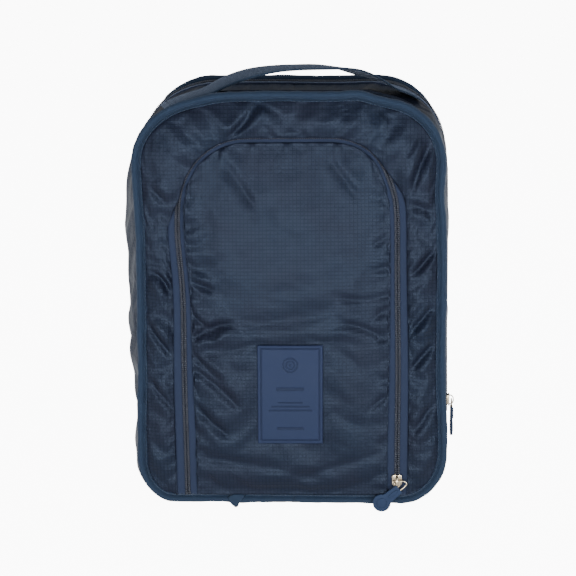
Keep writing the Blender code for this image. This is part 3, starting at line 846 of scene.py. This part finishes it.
def gusset_cloth():
    """The side wall in front of the main zip, all round, with the base and the low part behind it."""
    depths = np.concatenate([np.linspace(-0.0560, 0.0268, 37), np.linspace(0.0292, 0.0560, 12)])
    places, normal = wall(depths)
    x, z = places[..., 0], places[..., 2]
    inside = (np.sin(np.pi * np.clip((depths + 0.056) / 0.0828, 0, 1)) ** 0.6)[None]
    folds = ripple(np.stack([0.35 * z, 1.3 * np.broadcast_to(depths[None], z.shape), 0.2 * x], -1), 41, 0.020)
    cross = ripple(places, 43, 0.045)
    push = (0.0008 * folds + 0.0006 * cross) * inside * ease(0.004, 0.03, z) * np.where(x > 0, 0.7, 1.0)
    push -= 0.0012 * inside * np.clip(normal[..., 1], 0, 1) ** 4
    places[..., 0] += normal[..., 0] * push
    places[..., 2] += normal[..., 1] * push
    first, last = fold_rows()
    keep = np.ones((len(FRONT), len(depths) - 1), bool)
    keep[first:last, depths[1:] > 0.027] = False
    obj, used = grid("gusset_cloth", places, wall_cloth(depths), NYLON, closed=True, keep=keep)
    hold = np.zeros(x.shape)
    hold[:, 0] = hold[:, -1] = 1
    hold[:, np.abs(depths - 0.0268) < 0.0004] = 1
    hold[z < 0.0035] = 1
    for row in (first, last):
        hold[row, depths > 0.026] = 1
    settle(obj, hold.ravel()[used], 0.012, press=0.5, bend=0.10, gravity=0.05)
    face_out(obj)
    thicken(obj)
    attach(obj, "shell")
    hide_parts("gusset_band", "base_gusset")


def face_out(obj):
    """Turns a sheet of the wall so that its faces look away from the middle of the bag."""
    places = points_of(obj)
    total = 0.0
    for polygon in obj.data.polygons:
        centre = places[list(polygon.vertices)].mean(0)
        total += polygon.normal.dot(Vector((centre[0], 0, centre[2] - MIDDLE))) * polygon.area
    if total < 0:
        obj.data.flip_normals()


def lid_strip():
    """The side wall behind the main zip, which lifts with the lid."""
    depths = np.linspace(0.0412, 0.0560, 9)
    places, normal = wall(depths)
    first, last = fold_rows()
    rows = slice(first, last + 1)
    places, normal = places[rows], normal[rows]
    push = 0.0006 * ripple(places, 47, 0.03) * np.sin(np.pi * (depths - 0.0412) / 0.0148)[None]
    places[..., 0] += normal[..., 0] * push
    places[..., 2] += normal[..., 1] * push
    obj, _ = grid("lid_strip_cloth", places, wall_cloth(depths)[rows], NYLON)
    face_out(obj)
    thicken(obj)
    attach(obj, "lid")
    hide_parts("lid_strip")


def disc(name, line, normals, inset, y, material, facing, shape):
    """A sheet that fills a seam loop, in columns from the base to the top that crowd at the sides."""
    columns, rows = 61, 85
    edge = line - inset * normals
    t = np.linspace(-1, 1, columns)
    u = t + 0.75 * np.sin(np.pi * t) / np.pi
    u /= np.abs(u).max()
    x_at = u * np.abs(edge[:, 0]).max() * 0.9999
    upper, lower = edge[edge[:, 1] > MIDDLE], edge[edge[:, 1] <= MIDDLE]
    upper, lower = upper[np.argsort(upper[:, 0])], lower[np.argsort(lower[:, 0])]
    top = np.interp(x_at, upper[:, 0], upper[:, 1])
    base = np.interp(x_at, lower[:, 0], lower[:, 1])
    v = np.linspace(0, 1, rows)[:, None]
    z = base * (1 - v) + top * v
    x = np.broadcast_to(x_at, z.shape)
    places = np.stack([x, y + shape(x, z), z], -1)
    obj, used = grid(name, places, np.stack([x, z], -1), material, facing=facing)
    hold = np.zeros(z.shape)
    hold[0] = hold[-1] = hold[:, 0] = hold[:, -1] = 1
    return obj, hold.ravel()[used]


def back_cloth():
    """The back panel, filled out a little."""

    def bulge(x, z):
        across = np.clip(1 - (np.abs(x) / 0.104) ** 2.5, 0, 1)
        along = np.clip(1 - (np.abs(z - 0.159) / 0.145) ** 3, 0, 1)
        pocket = 0.0030 * across * along
        return pocket + 0.0007 * ripple(np.stack([x, z], -1), 51, 0.05) * (across * along) ** 0.5

    obj, hold = disc("back_cloth", BACK, BACK_OUT, 0.0034, 0.0598, NYLON, (0, 1, 0), bulge)
    settle(obj, hold, 0.008, press=0.6, bend=0.15, gravity=0.05)
    thicken(obj)
    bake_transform(obj)
    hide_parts("back_panel", "back_panel_foot")


def divider_cloth():
    """The lining wall between the pocket and the shoe compartment."""

    def waves(x, z):
        across = np.clip(1 - (np.abs(x) / 0.106) ** 6, 0, 1)
        along = np.clip(1 - (np.abs(z - 0.159) / 0.147) ** 6, 0, 1)
        return 0.0016 * ripple(np.stack([x, z], -1), 61, 0.07) * across * along

    share = 0.5 + DIVIDER_DEPTH / (2 * DEPTH)
    line = FRONT * (1 - share) + BACK * share
    obj, _ = disc("divider_cloth", line, outward(line, True), 0.0, DIVIDER_DEPTH, LINING, (0, -1, 0), waves)
    thicken(obj)
    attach(obj, "shell")
    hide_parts("divider")


# ---------------------------------------------------------------- zips


def strip_section(inner, outer, crown):
    """Section of a tape: flat behind, slightly crowned in front, with rolled edges."""
    thickness = 0.0008
    inner, outer = np.broadcast_arrays(np.atleast_1d(inner), np.atleast_1d(outer))
    shares = np.array([0.0, 0.03, 0.12, 0.35, 0.65, 0.88, 0.97, 1.0, 0.97, 0.03])
    heights = np.array([0.2, 0.75, 0.95, 1.0, 1.0, 0.95, 0.75, 0.2, 0.0, 0.0])
    across = inner[:, None] + (outer - inner)[:, None] * shares
    out = np.broadcast_to(heights * (thickness + crown) - thickness, across.shape)
    return np.stack([across, out], -1)


def helix(name, origin, across, out, centre, half_width, height):
    """A flattened coil of zip wire along a line."""
    pitch, wire_radius = 0.00145, 0.00036
    along = lengths(origin)
    turns = int(along[-1] / pitch)
    steps = 8
    places = np.linspace(0, along[-1], turns * steps + 1)
    angle = 2 * np.pi * np.arange(len(places)) / steps

    def read(table):
        return np.stack([np.interp(places, along, table[:, k]) for k in range(3)], 1)

    middle, side, up = read(origin), read(across), read(out)
    forward = np.gradient(middle, axis=0)
    forward /= np.linalg.norm(forward, axis=1)[:, None]
    squared = np.sign(np.cos(angle)) * np.abs(np.cos(angle)) ** 0.7
    line = (
        middle
        + side * (centre + half_width * squared)[:, None]
        + up * (height * (0.5 + 0.5 * np.sin(angle)))[:, None]
    )
    tangent = np.gradient(line, axis=0)
    tangent /= np.linalg.norm(tangent, axis=1)[:, None]
    one = np.cross(tangent, forward)
    one /= np.linalg.norm(one, axis=1)[:, None]
    two = np.cross(tangent, one)
    ring = np.array([(math.cos(a), math.sin(a)) for a in np.arange(4) * math.pi / 2 + 0.4]) * wire_radius
    return sweep(name, line, one, two, ring, COIL)


def stitch_row(name, origin, across, out, length=0.0023, gap=0.0009, radius=0.00021):
    """A row of separate thread stitches along a line, each arched with its ends sunk in the cloth."""
    sink = 0.25
    along = lengths(origin)
    pitch = length + gap
    count = int(along[-1] / pitch)

    def read(table, places):
        return np.stack([np.interp(places, along, table[:, k]) for k in range(3)], -1)

    starts = (np.arange(count) + 0.25) * pitch
    t = np.linspace(0, 1, 6)
    places = starts[:, None] + length * t[None, :]
    middle = read(origin, places)
    side, up = read(across, places), read(out, places)
    arch = radius * (np.sin(np.pi * t) ** 0.5 * (1 + sink) - sink)[None, :, None]
    middle = middle + up * arch
    girth = (0.35 + 0.65 * np.sin(np.pi * t) ** 0.5)[None, :, None, None] * radius
    angles = np.arange(6) * math.pi / 3
    ring = side[..., None, :] * np.cos(angles)[:, None] * 1.15 + up[..., None, :] * np.sin(angles)[:, None]
    points = (middle[..., None, :] + girth * ring).reshape(-1, 3)
    index = np.arange(count * 6 * 6).reshape(count, 6, 6)
    wrapped = np.concatenate([index, index[..., :1]], -1)
    faces = np.stack([wrapped[:, :-1, :-1], wrapped[:, :-1, 1:], wrapped[:, 1:, 1:], wrapped[:, 1:, :-1]], -1)
    faces = [tuple(f) for f in faces.reshape(-1, 4)]
    faces += [tuple(f[::-1]) for f in index[:, 0]] + [tuple(f) for f in index[:, -1]]
    cloth = np.stack([points[:, 0] + points[:, 2], points[:, 1]], -1)
    return new_object(name, points, faces, THREAD, cloth)


def pocket_zip():
    """Both halves of the pocket's zip: the outer half is fixed to the shell, and the inner half stays where it
    is made.
    """
    origin, across = stations(ZIP, ZIP_OUT, -0.0603)
    out = np.broadcast_to((0.0, -1.0, 0.0), origin.shape)
    wobble = 0.00018 * ripple(lengths(ZIP)[:, None], 71, 0.03)
    section = strip_section(0.0001, 0.0100, 0.0003)
    outer = sweep("front_zip_tape_outer", origin, across, out, section, TAPE)
    section = strip_section(-0.0088 + wobble, -0.0001, 0.0003)
    inner = sweep("front_zip_tape_inner", origin, across, out, section, TAPE)
    front, _ = stations(ZIP, ZIP_OUT, -0.0606)
    coil_outer = helix("front_zip_coil_outer", front, across, out, 0.00108, 0.00084, 0.0009)
    coil_inner = helix("front_zip_coil_inner", front, across, out, -0.00108, 0.00084, 0.0009)
    for piece, nodes, slot_name in (
        (outer, ["front_tape_outer"], "zip_tape"), (coil_outer, ["front_coil_outer"], "zip_coil"),
    ):
        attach(piece, "shell")
        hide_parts(*nodes)
    feet = ("left", "right")
    for piece, nodes, slot_name in (
        (inner, ["flap_tape"] + ["front_tape_foot_" + f for f in feet], "zip_tape"),
        (coil_inner, ["flap_coil"] + ["front_coil_foot_" + f for f in feet], "zip_coil"),
    ):
        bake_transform(piece)
        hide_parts(*nodes)


def wall_stations(depth, lift, rows):
    """Places, directions across (back) and out for a sweep that runs round the side wall."""
    places, normal = wall(np.array([depth - 0.004, depth, depth + 0.004]))
    across = places[:, 2] - places[:, 0]
    across /= np.linalg.norm(across, axis=1)[:, None]
    origin = places[:, 1]
    forward = np.roll(origin, -1, 0) - np.roll(origin, 1, 0)
    out = np.cross(across, forward)
    out /= np.linalg.norm(out, axis=1)[:, None]
    out *= np.sign((out[:, [0, 2]] * normal[:, 1]).sum(1))[:, None]
    origin = origin + lift * out
    return origin[rows], across[rows], out[rows]


def main_zip():
    """The main zip over the top and down both sides. Its back half lifts with the lid."""
    first, last = fold_rows()
    rows = slice(first, last + 1)
    origin, across, out = wall_stations(ZIP_DEPTH, 0.0004, rows)
    front = sweep("main_zip_tape_front", origin, across, out, strip_section(-0.0086, -0.0001, 0.0006), TAPE)
    back = sweep("main_zip_tape_back", origin, across, out, strip_section(0.0001, 0.0086, 0.0006), TAPE)
    origin = origin + 0.0004 * out
    coil_front = helix("main_zip_coil_front", origin, across, out, -0.00120, 0.00085, 0.0012)
    coil_back = helix("main_zip_coil_back", origin, across, out, 0.00120, 0.00085, 0.0012)
    for piece, body, node, slot_name in (
        (front, "shell", "main_tape_front", "zip_tape"), (coil_front, "shell", "main_coil_front", "zip_coil"),
        (back, "lid", "lid_tape", "zip_tape"), (coil_back, "lid", "lid_coil", "zip_coil"),
    ):
        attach(piece, body)
        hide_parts(node)


# ---------------------------------------------------------------- bindings


def binding_section(seed, line):
    """Section of a rolled binding at each station: the bead, a groove, and the thin sewn ridge inside it."""
    angles = np.radians(np.linspace(-140, 142, 17))
    bead = np.stack([0.00085 + 0.00255 * np.cos(angles), 0.00315 * np.sin(angles)], 1)
    ridge = np.array([
        (-0.00165, 0.00125), (-0.00215, 0.00115), (-0.00262, 0.00190), (-0.00300, 0.00268),
        (-0.00345, 0.00295), (-0.00390, 0.00268), (-0.00425, 0.00190), (-0.00430, 0.00080),
        (-0.00380, -0.00030), (-0.00250, -0.00090),
    ])
    along = lengths(line)[:, None]
    size = 1 + 0.045 * ripple(along, seed, 0.030) + 0.035 * ripple(along, seed + 1, 0.009)
    roll = 0.00022 * ripple(along, seed + 2, 0.045)
    lift = 0.00016 * ripple(along, seed + 3, 0.020)
    beads = bead[None] * size[:, None, None]
    ridges = ridge[None] + np.stack([roll, lift], 1)[:, None]
    return np.concatenate([beads, ridges], 1)


def sewn_row(name, line, normals, y, out):
    """The stitches on a binding's ridge, all round a seam loop."""
    seam = line - RIDGE_INSIDE * normals
    origin, across = stations(np.vstack([seam, seam[:1]]), np.vstack([normals, normals[:1]]), y)
    return stitch_row(name, origin, across, np.broadcast_to(out, origin.shape))


def front_binding():
    """The bound front edge, thicker where its two ends lap on the base."""
    origin, across = stations(FRONT, FRONT_OUT, -DEPTH)
    out = np.broadcast_to((0.0, -1.0, 0.0), origin.shape)
    lapped = ease(-0.0470, -0.0455, FRONT[:, 0]) * (1 - ease(-0.0350, -0.0320, FRONT[:, 0]))
    overlap = np.where(FRONT[:, 1] < 0.02, lapped, 0)
    section = binding_section(81, FRONT) * (1 + 0.16 * overlap)[:, None, None]
    obj = sweep("front_binding_roll", origin, across, out, section, BINDING, closed=True)
    smooth(obj)
    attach(obj, "shell")
    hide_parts("front_binding")
    row = sewn_row("front_binding_stitches", FRONT, FRONT_OUT, -DEPTH - RIDGE_OUT, (0.0, -1.0, 0.0))
    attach(row, "shell")


def binding_tail():
    """The folded end of the front binding, lapped over its start on the base edge."""
    outline = rounded([
        (-0.0468, 0.0128), (-0.0352, 0.0136), (-0.0362, 0.0104), (-0.0392, 0.0072), (-0.0400, 0.0040),
        (-0.0420, 0.0026), (-0.0446, 0.0048), (-0.0472, 0.0078),
    ], 1)
    tail = plate("front_binding_tail", outline[::-1], 0.0596, 0.0619, BINDING, 0.0008, 3)
    cloth = tail.data.attributes.new("cloth", "FLOAT_VECTOR", "POINT")
    places = points_of(tail)
    cloth.data.foreach_set("vector", np.stack([places[:, 0], places[:, 2], places[:, 1]], 1).ravel())
    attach(tail, "shell")


def back_binding():
    """The bound back edge."""
    origin, across = stations(BACK, BACK_OUT, DEPTH)
    out = np.broadcast_to((0.0, 1.0, 0.0), origin.shape)
    section = binding_section(91, BACK)
    obj = sweep("back_binding_roll", origin, across, out, section, BINDING, closed=True)
    smooth(obj)
    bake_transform(obj)
    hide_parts("back_binding", "back_binding_foot")
    row = sewn_row("back_binding_stitches", BACK, BACK_OUT, DEPTH + RIDGE_OUT, (0.0, 1.0, 0.0))
    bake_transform(row)


# ---------------------------------------------------------------- label


def label_patch():
    """A moulded rubber label with a pressed frame line, a plain ring emblem and plain bars, its pressed lines
    darkened with painted shade.
    """
    width, height = LABEL_SIZE
    columns, rows = 139, 217
    u = np.linspace(-0.5, 0.5, columns)[None, :] * width
    v = np.linspace(-0.5, 0.5, rows)[:, None] * height
    u, v = np.broadcast_arrays(u, v)
    to_edge = np.minimum(width / 2 - np.abs(u), height / 2 - np.abs(v))
    high = 0.0014 - 0.0006 * (1 - ease(0, 0.0007, to_edge))
    high = high - 0.00070 * bump(to_edge, 0.0026, 0.00050) - 0.00015 * ease(0.0024, 0.0030, to_edge)

    def bar(centre_z, half_x, half_z):
        dx, dz = np.abs(u) - half_x, np.abs(v - centre_z) - half_z
        return 1 - ease(-0.00025, 0.00025, np.maximum(dx, dz))

    ring = np.hypot(u, v - 0.0224)
    pressed = bump(ring, 0.0052, 0.0005) + bump(ring, 0.0030, 0.0005) + (1 - ease(0.0007, 0.0011, ring))
    for centre_z, half_x, half_z in (
        (0.0043, 0.0100, 0.0012), (-0.0060, 0.0090, 0.00045), (-0.0089, 0.0140, 0.00045),
        (-0.0119, 0.0160, 0.00045), (-0.0258, 0.0096, 0.0010),
    ):
        pressed = pressed + bar(centre_z, half_x, half_z)
    pressed = np.clip(pressed, 0, 1)
    high = high - 0.00042 * pressed
    # Painted shade: the pressed lines and the groove inside the frame are darkened, carried as the cloth
    # attribute's third number.
    shade = np.clip(0.75 * pressed + 0.9 * bump(to_edge, 0.0026, 0.00038), 0, 1)
    x, z = u + LABEL_CENTRE[0], v + LABEL_CENTRE[1]
    x = x + 0.0006 * v / height
    front = FLAP_FRONT - dome(x, z) - high
    places = np.stack([x, front, z], -1)
    obj, _ = grid("label_plate", places, np.stack([x, z, shade], -1), LABEL, facing=(0, -1, 0))
    backed(obj, 0.0012)
    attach(obj, "pocket_flap")
    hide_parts("label_patch")


# ---------------------------------------------------------------- handle

STRAP_CENTRE, STRAP_SKEW = np.array((0.0015, -0.0100)), math.radians(15)


def strap_height(s):
    """Height of the strap's middle above the floor at a distance s along it."""
    arch = 0.3240 - 0.0140 * (np.abs(s - 0.0050) / 0.066) ** 2.6
    cloth = []
    for distance in s:
        x, y = STRAP_CENTRE + distance * np.array((math.cos(STRAP_SKEW), math.sin(STRAP_SKEW)))
        line = wall(np.array([y]))[0][:, 0]
        upper = line[line[:, 2] > 0.20]
        upper = upper[np.argsort(upper[:, 0])]
        cloth.append(np.interp(x, upper[:, 0], upper[:, 2]))
    return np.maximum(arch, np.array(cloth) + 0.0014)


def strap_half(name, sign, nodes):
    """Half of the handle, fixed where it is made. The sewn end stays on the bag."""
    s = np.linspace(0.0, 0.0965, 70) * sign
    z = strap_height(s)
    for _ in range(8):
        z[1:-1] = 0.25 * z[:-2] + 0.5 * z[1:-1] + 0.25 * z[2:]
    direction = np.array((math.cos(STRAP_SKEW), math.sin(STRAP_SKEW)))
    flat = STRAP_CENTRE + s[:, None] * direction
    origin = np.stack([flat[:, 0], flat[:, 1], z], 1)
    forward = np.gradient(origin, axis=0) * sign
    forward /= np.linalg.norm(forward, axis=1)[:, None]
    side = np.broadcast_to((-math.sin(STRAP_SKEW), math.cos(STRAP_SKEW), 0.0), origin.shape).copy()
    twist = np.zeros(len(s))
    if sign > 0:
        twist = math.radians(-16) * bump(s, 0.050, 0.018)
    else:
        twist = math.radians(7) * bump(s, -0.040, 0.025)
    twist = twist + math.radians(4)
    up = np.cross(forward, side)
    up /= np.linalg.norm(up, axis=1)[:, None]
    up *= np.sign(up[:, 2:3])
    across = side * np.cos(twist)[:, None] + up * np.sin(twist)[:, None]
    up = up * np.cos(twist)[:, None] - side * np.sin(twist)[:, None]
    half, thick = 0.0108, 0.0008
    edge = np.array([-1.0, -0.97, -0.85, -0.5, 0.0, 0.5, 0.85, 0.97])
    rise = np.array([0, 0.75, 1, 1, 1, 1, 1, 0.75])
    shares, heights = np.concatenate([edge, -edge]), np.concatenate([rise, -rise])
    cup = 0.0006 * (1 - shares**2)
    section = np.stack([half * shares, thick * heights + cup], 1)
    close = np.ones(len(s))
    close[-2:] = 0.7, 0.25
    sections = section[None] * np.stack([np.ones(len(s)), close], 1)[:, None]
    obj = sweep(name, origin, across, up, sections, WEBBING, capped=False)
    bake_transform(obj)
    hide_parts(*nodes)
    for place in (0.0880, 0.0925):
        index = int(np.argmin(np.abs(np.abs(s) - place)))
        t = np.linspace(-0.0092, 0.0092, 12)[:, None]
        line = origin[index] + across[index] * t + up[index] * 0.0010
        row = stitch_row(
            f"{name}_stitches_{int(place * 1e4)}", line, np.broadcast_to(forward[index], line.shape),
            np.broadcast_to(up[index], line.shape), length=0.0019, gap=0.0006, radius=0.00028,
        )
        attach(row, "shell")


def handle():
    strap_half("handle_strap_left", -1, ["handle_grip", "handle_end_left"])
    strap_half("handle_strap_right", 1, ["handle_end_right"])


# ---------------------------------------------------------------- sliders


def slider_set(prefix, location, turn, lean, bar_shift, bends):
    """A slider with its bridge, wire bail and rubber pull, made at the origin with its front to -Y."""
    half_length, half_width, bar_out = 0.0050, 0.0036, 0.0028
    body_outline = rounded([
        (-0.0018, -half_length), (0.0018, -half_length), (0.0028, -0.0030), (0.0027, 0.0008),
        (0.0034, 0.0040), (0.0017, half_length), (0.0, 0.0034), (-0.0017, half_length),
        (-0.0034, 0.0040), (-0.0027, 0.0008), (-0.0028, -0.0030),
    ])
    top_plate = plate(prefix + "_top", body_outline, 0.0001, 0.0012, METAL)
    rims = [
        plate(prefix + "_rim", rounded([
            (side * half_width, -0.0030), (side * half_width, 0.0036),
            (side * 0.0029, 0.0040), (side * 0.0029, -0.0034),
        ], 1), -0.0016, 0.0009, METAL, 0.0002)
        for side in (-1, 1)
    ]
    arch = []
    for degrees in range(0, 181, 12):
        angle = math.radians(degrees)
        arch.append((0.0, -0.0008 - 0.0035 * math.sin(angle) ** 0.7, 0.0036 * math.cos(angle) - 0.0002))
    ring = np.array([(math.cos(a), math.sin(a)) for a in np.arange(10) * math.pi / 5])
    line = np.array(arch)
    tangent = np.gradient(line, axis=0)
    tangent /= np.linalg.norm(tangent, axis=1)[:, None]
    across = np.broadcast_to((1.0, 0.0, 0.0), line.shape)
    bridge_ring = np.sign(ring) * np.abs(ring) ** 0.7 * (0.00105, 0.00042)
    bridge = sweep(prefix + "_bridge", line, across, np.cross(across, tangent), bridge_ring, METAL)
    body_piece = joined(prefix + "_slider_casting", [top_plate, *rims, bridge])

    down = np.array((-math.sin(lean), -math.cos(lean)))
    sideways = np.array((math.cos(lean), -math.sin(lean)))

    def at_bar(along, aside):
        return bar_shift + along * down + aside * sideways

    bar_half, throat = 0.0015, -0.0022
    corners = [
        (-0.0030, 0.0), *bends, at_bar(throat, bar_half), at_bar(0.0, bar_half),
        at_bar(0.0, -bar_half), at_bar(throat, -bar_half), (-0.0032, -0.0008),
    ]
    path = rounded(np.array([(p[0], p[1]) for p in corners]), 3)
    bail = wire(prefix + "_pull_wire", [(x, -bar_out, z) for x, z in path], 0.00052, METAL)

    neck, end, reach_end, shift = 0.0041, 0.0067, 0.0170, -0.0012
    joint = math.pi - math.asin(neck / end)
    outline = [(0.0, -neck + 0.0004)]
    for step in range(41):
        angle = -joint + 2 * joint * step / 40
        outline.append((reach_end + end * math.cos(angle), end * math.sin(angle)))
    outline += [(0.0, neck - 0.0004)]
    dense = resample(np.array(outline + [outline[0]]), 120)[:-1]
    for _ in range(2):
        dense = 0.25 * np.roll(dense, 1, 0) + 0.5 * dense + 0.25 * np.roll(dense, -1, 0)
    turned = [tuple(at_bar(a + shift, b)) for a, b in dense]
    tab = plate(prefix + "_tab", turned[::-1], bar_out - 0.0011, bar_out + 0.0010, RUBBER, 0.00055, 4)
    rib_outline = rounded([(0.0016, -0.0011), (0.0016, 0.0011), (0.0102, 0.0014), (0.0102, -0.0014)], 2)
    rib_line = [tuple(at_bar(a + shift, b)) for a, b in rib_outline]
    rib = plate(prefix + "_rib", rib_line, bar_out + 0.0006, bar_out + 0.0016, RUBBER, 0.0003, 3)
    emblem_line = []
    for angle in np.arange(40) * math.pi / 20:
        x, z = at_bar(reach_end + 0.0036 * math.cos(angle) + shift, 0.0036 * math.sin(angle))
        emblem_line.append((x, -bar_out - 0.0009, z))
    emblem = wire(prefix + "_ring", emblem_line, 0.00038, RUBBER)
    pull = joined(prefix + "_pull_rubber", [tab, rib, emblem])
    move = Matrix.Translation(location) @ Matrix.Rotation(turn, 4, "Z")
    for piece, body, node, slot_name in (
        (body_piece, "_slider", "_slider_body", "slider_metal"),
        (bail, "_pull", "_pull_bail", "slider_metal"),
        (pull, "_pull", "_pull_tab", "pull_rubber"),
    ):
        piece.data.transform(move)
        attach(piece, prefix + body)
        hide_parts(prefix + node)


def sliders():
    """The pocket's slider on the right leg of its zip, and the main slider low on the right side."""
    slider_set("front", (0.0775, -0.0620, 0.0245), 0.0, math.radians(50), np.array((0.0008, -0.0062)),
               ((0.0056, 0.0006), (0.0078, -0.0020)))
    side = HALF + 0.0092
    slider_set("main", (side, ZIP_DEPTH, 0.0600), math.pi / 2, 0.0, np.array((0.0, -0.0065)),
               ((0.0030, 0.0), (0.0036, -0.0014)))


# ---------------------------------------------------------------- studio


def floor():
    """A pale floor. The camera sees it nearly white, and it lights the bag as plain pale card would."""
    mesh = bpy.data.meshes.new("studio_floor")
    half = 12.0
    corners = [(-half, -half, 0), (half, -half, 0), (half, half, 0), (-half, half, 0)]
    mesh.from_pydata(corners, [], [(0, 1, 2, 3)])
    surface = Surface("studio_floor", (0.88, 0.88, 0.88), 0.9, Specular_IOR_Level=0.1)
    patches = surface.noise(surface.place(), 3.0, 2.0, 0.5)
    tone = surface.mix(surface.spread(patches, 0.0, 1.0), (0.87, 0.87, 0.87), (0.89, 0.89, 0.89))
    surface.set("Base Color", tone)
    seen = surface.add("ShaderNodeLightPath").outputs["Is Camera Ray"]
    surface.set("Emission Color", (1.0, 1.0, 1.0, 1.0))
    surface.set("Emission Strength", surface.math("MULTIPLY_ADD", seen, 9.54, 0.56))
    mesh.materials.append(surface.material)
    obj = bpy.data.objects.new("studio_floor", mesh)
    obj.location.z = -0.0002
    SCENE.collection.objects.link(obj)


def area_light(name, location, target, size, power, colour=(1, 1, 1)):
    data = bpy.data.lights.new(name, "AREA")
    data.shape = "RECTANGLE"
    data.size, data.size_y = size
    data.energy = power
    data.color = colour
    obj = bpy.data.objects.new(name, data)
    obj.location = location
    obj.rotation_euler = (Vector(target) - Vector(location)).to_track_quat("-Z", "Y").to_euler()
    SCENE.collection.objects.link(obj)


SKY_LOW, SKY_HIGH, SKY_SEEN = 0.24, 0.30, 10.9


def sky():
    """A soft surround, dim overhead and lighter at the horizon, that the camera sees as white."""
    world = bpy.data.worlds.new("studio")
    world.use_nodes = True
    tree = world.node_tree
    background = tree.nodes["Background"]
    background.inputs[0].default_value = (1.0, 1.0, 1.0, 1.0)
    parts = tree.nodes.new("ShaderNodeSeparateXYZ")
    ramp = tree.nodes.new("ShaderNodeMapRange")
    mix = tree.nodes.new("ShaderNodeMix")
    tree.links.new(tree.nodes.new("ShaderNodeTexCoord").outputs["Generated"], parts.inputs[0])
    tree.links.new(parts.outputs[2], ramp.inputs[0])
    for place, value in enumerate((0.0, 0.8, SKY_LOW, SKY_HIGH), 1):
        ramp.inputs[place].default_value = value
    tree.links.new(tree.nodes.new("ShaderNodeLightPath").outputs["Is Camera Ray"], mix.inputs[0])
    tree.links.new(ramp.outputs[0], mix.inputs[2])
    mix.inputs[3].default_value = SKY_SEEN
    tree.links.new(mix.outputs[0], background.inputs[1])
    SCENE.world = world


def studio():
    """The floor, the surround and soft lights: two in front, a low one, one high, three behind."""
    floor()
    sky()
    area_light("key", (-1.2, -1.9, 0.40), (0, 0, 0.13), (1.1, 0.9), 20)
    area_light("fill", (1.3, -1.8, 0.32), (0, 0, 0.13), (0.9, 0.8), 14)
    area_light("low", (0.1, -1.3, 0.06), (0, 0, 0.02), (1.8, 0.1), 17)
    area_light("high_right", (0.8, -1.3, 1.4), (0, 0, 0.25), (0.8, 0.8), 10)
    area_light("over", (0.0, 0.9, 2.0), (0, 0, 0.2), (1.6, 1.2), 5, (0.5, 0.7, 1.0))
    area_light("back_left", (-2.4, 0.9, 0.7), (0, 0, 0.15), (1.0, 1.0), 12, (0.65, 0.8, 1.0))
    area_light("back_right", (2.2, 1.1, 0.7), (0, 0, 0.15), (1.0, 1.0), 22, (0.75, 0.87, 1.0))


def camera():
    """A long lens, a little above the bag and to its right."""
    elevation, yaw, distance = math.radians(12.25), math.radians(2.5), 1.4628
    target = Vector((-0.0041, 0.0, 0.1565))
    back = Vector((
        math.sin(yaw) * math.cos(elevation), -math.cos(yaw) * math.cos(elevation), math.sin(elevation),
    ))
    data = bpy.data.cameras.new("camera")
    data.lens = 120.86
    data.sensor_width = 36.0
    obj = bpy.data.objects.new("camera", data)
    obj.location = target + distance * back
    turn = back.to_track_quat("Z", "Y").to_matrix().to_4x4()
    obj.rotation_euler = (turn @ Matrix.Rotation(math.radians(-0.625), 4, "Z")).to_euler()
    SCENE.collection.objects.link(obj)
    SCENE.camera = obj


# ---------------------------------------------------------------- build

front_cloth()
flap_cloth()
gusset_cloth()
lid_strip()
back_cloth()
divider_cloth()
pocket_zip()
main_zip()
front_binding()
binding_tail()
back_binding()
label_patch()
handle()
sliders()
studio()
camera()
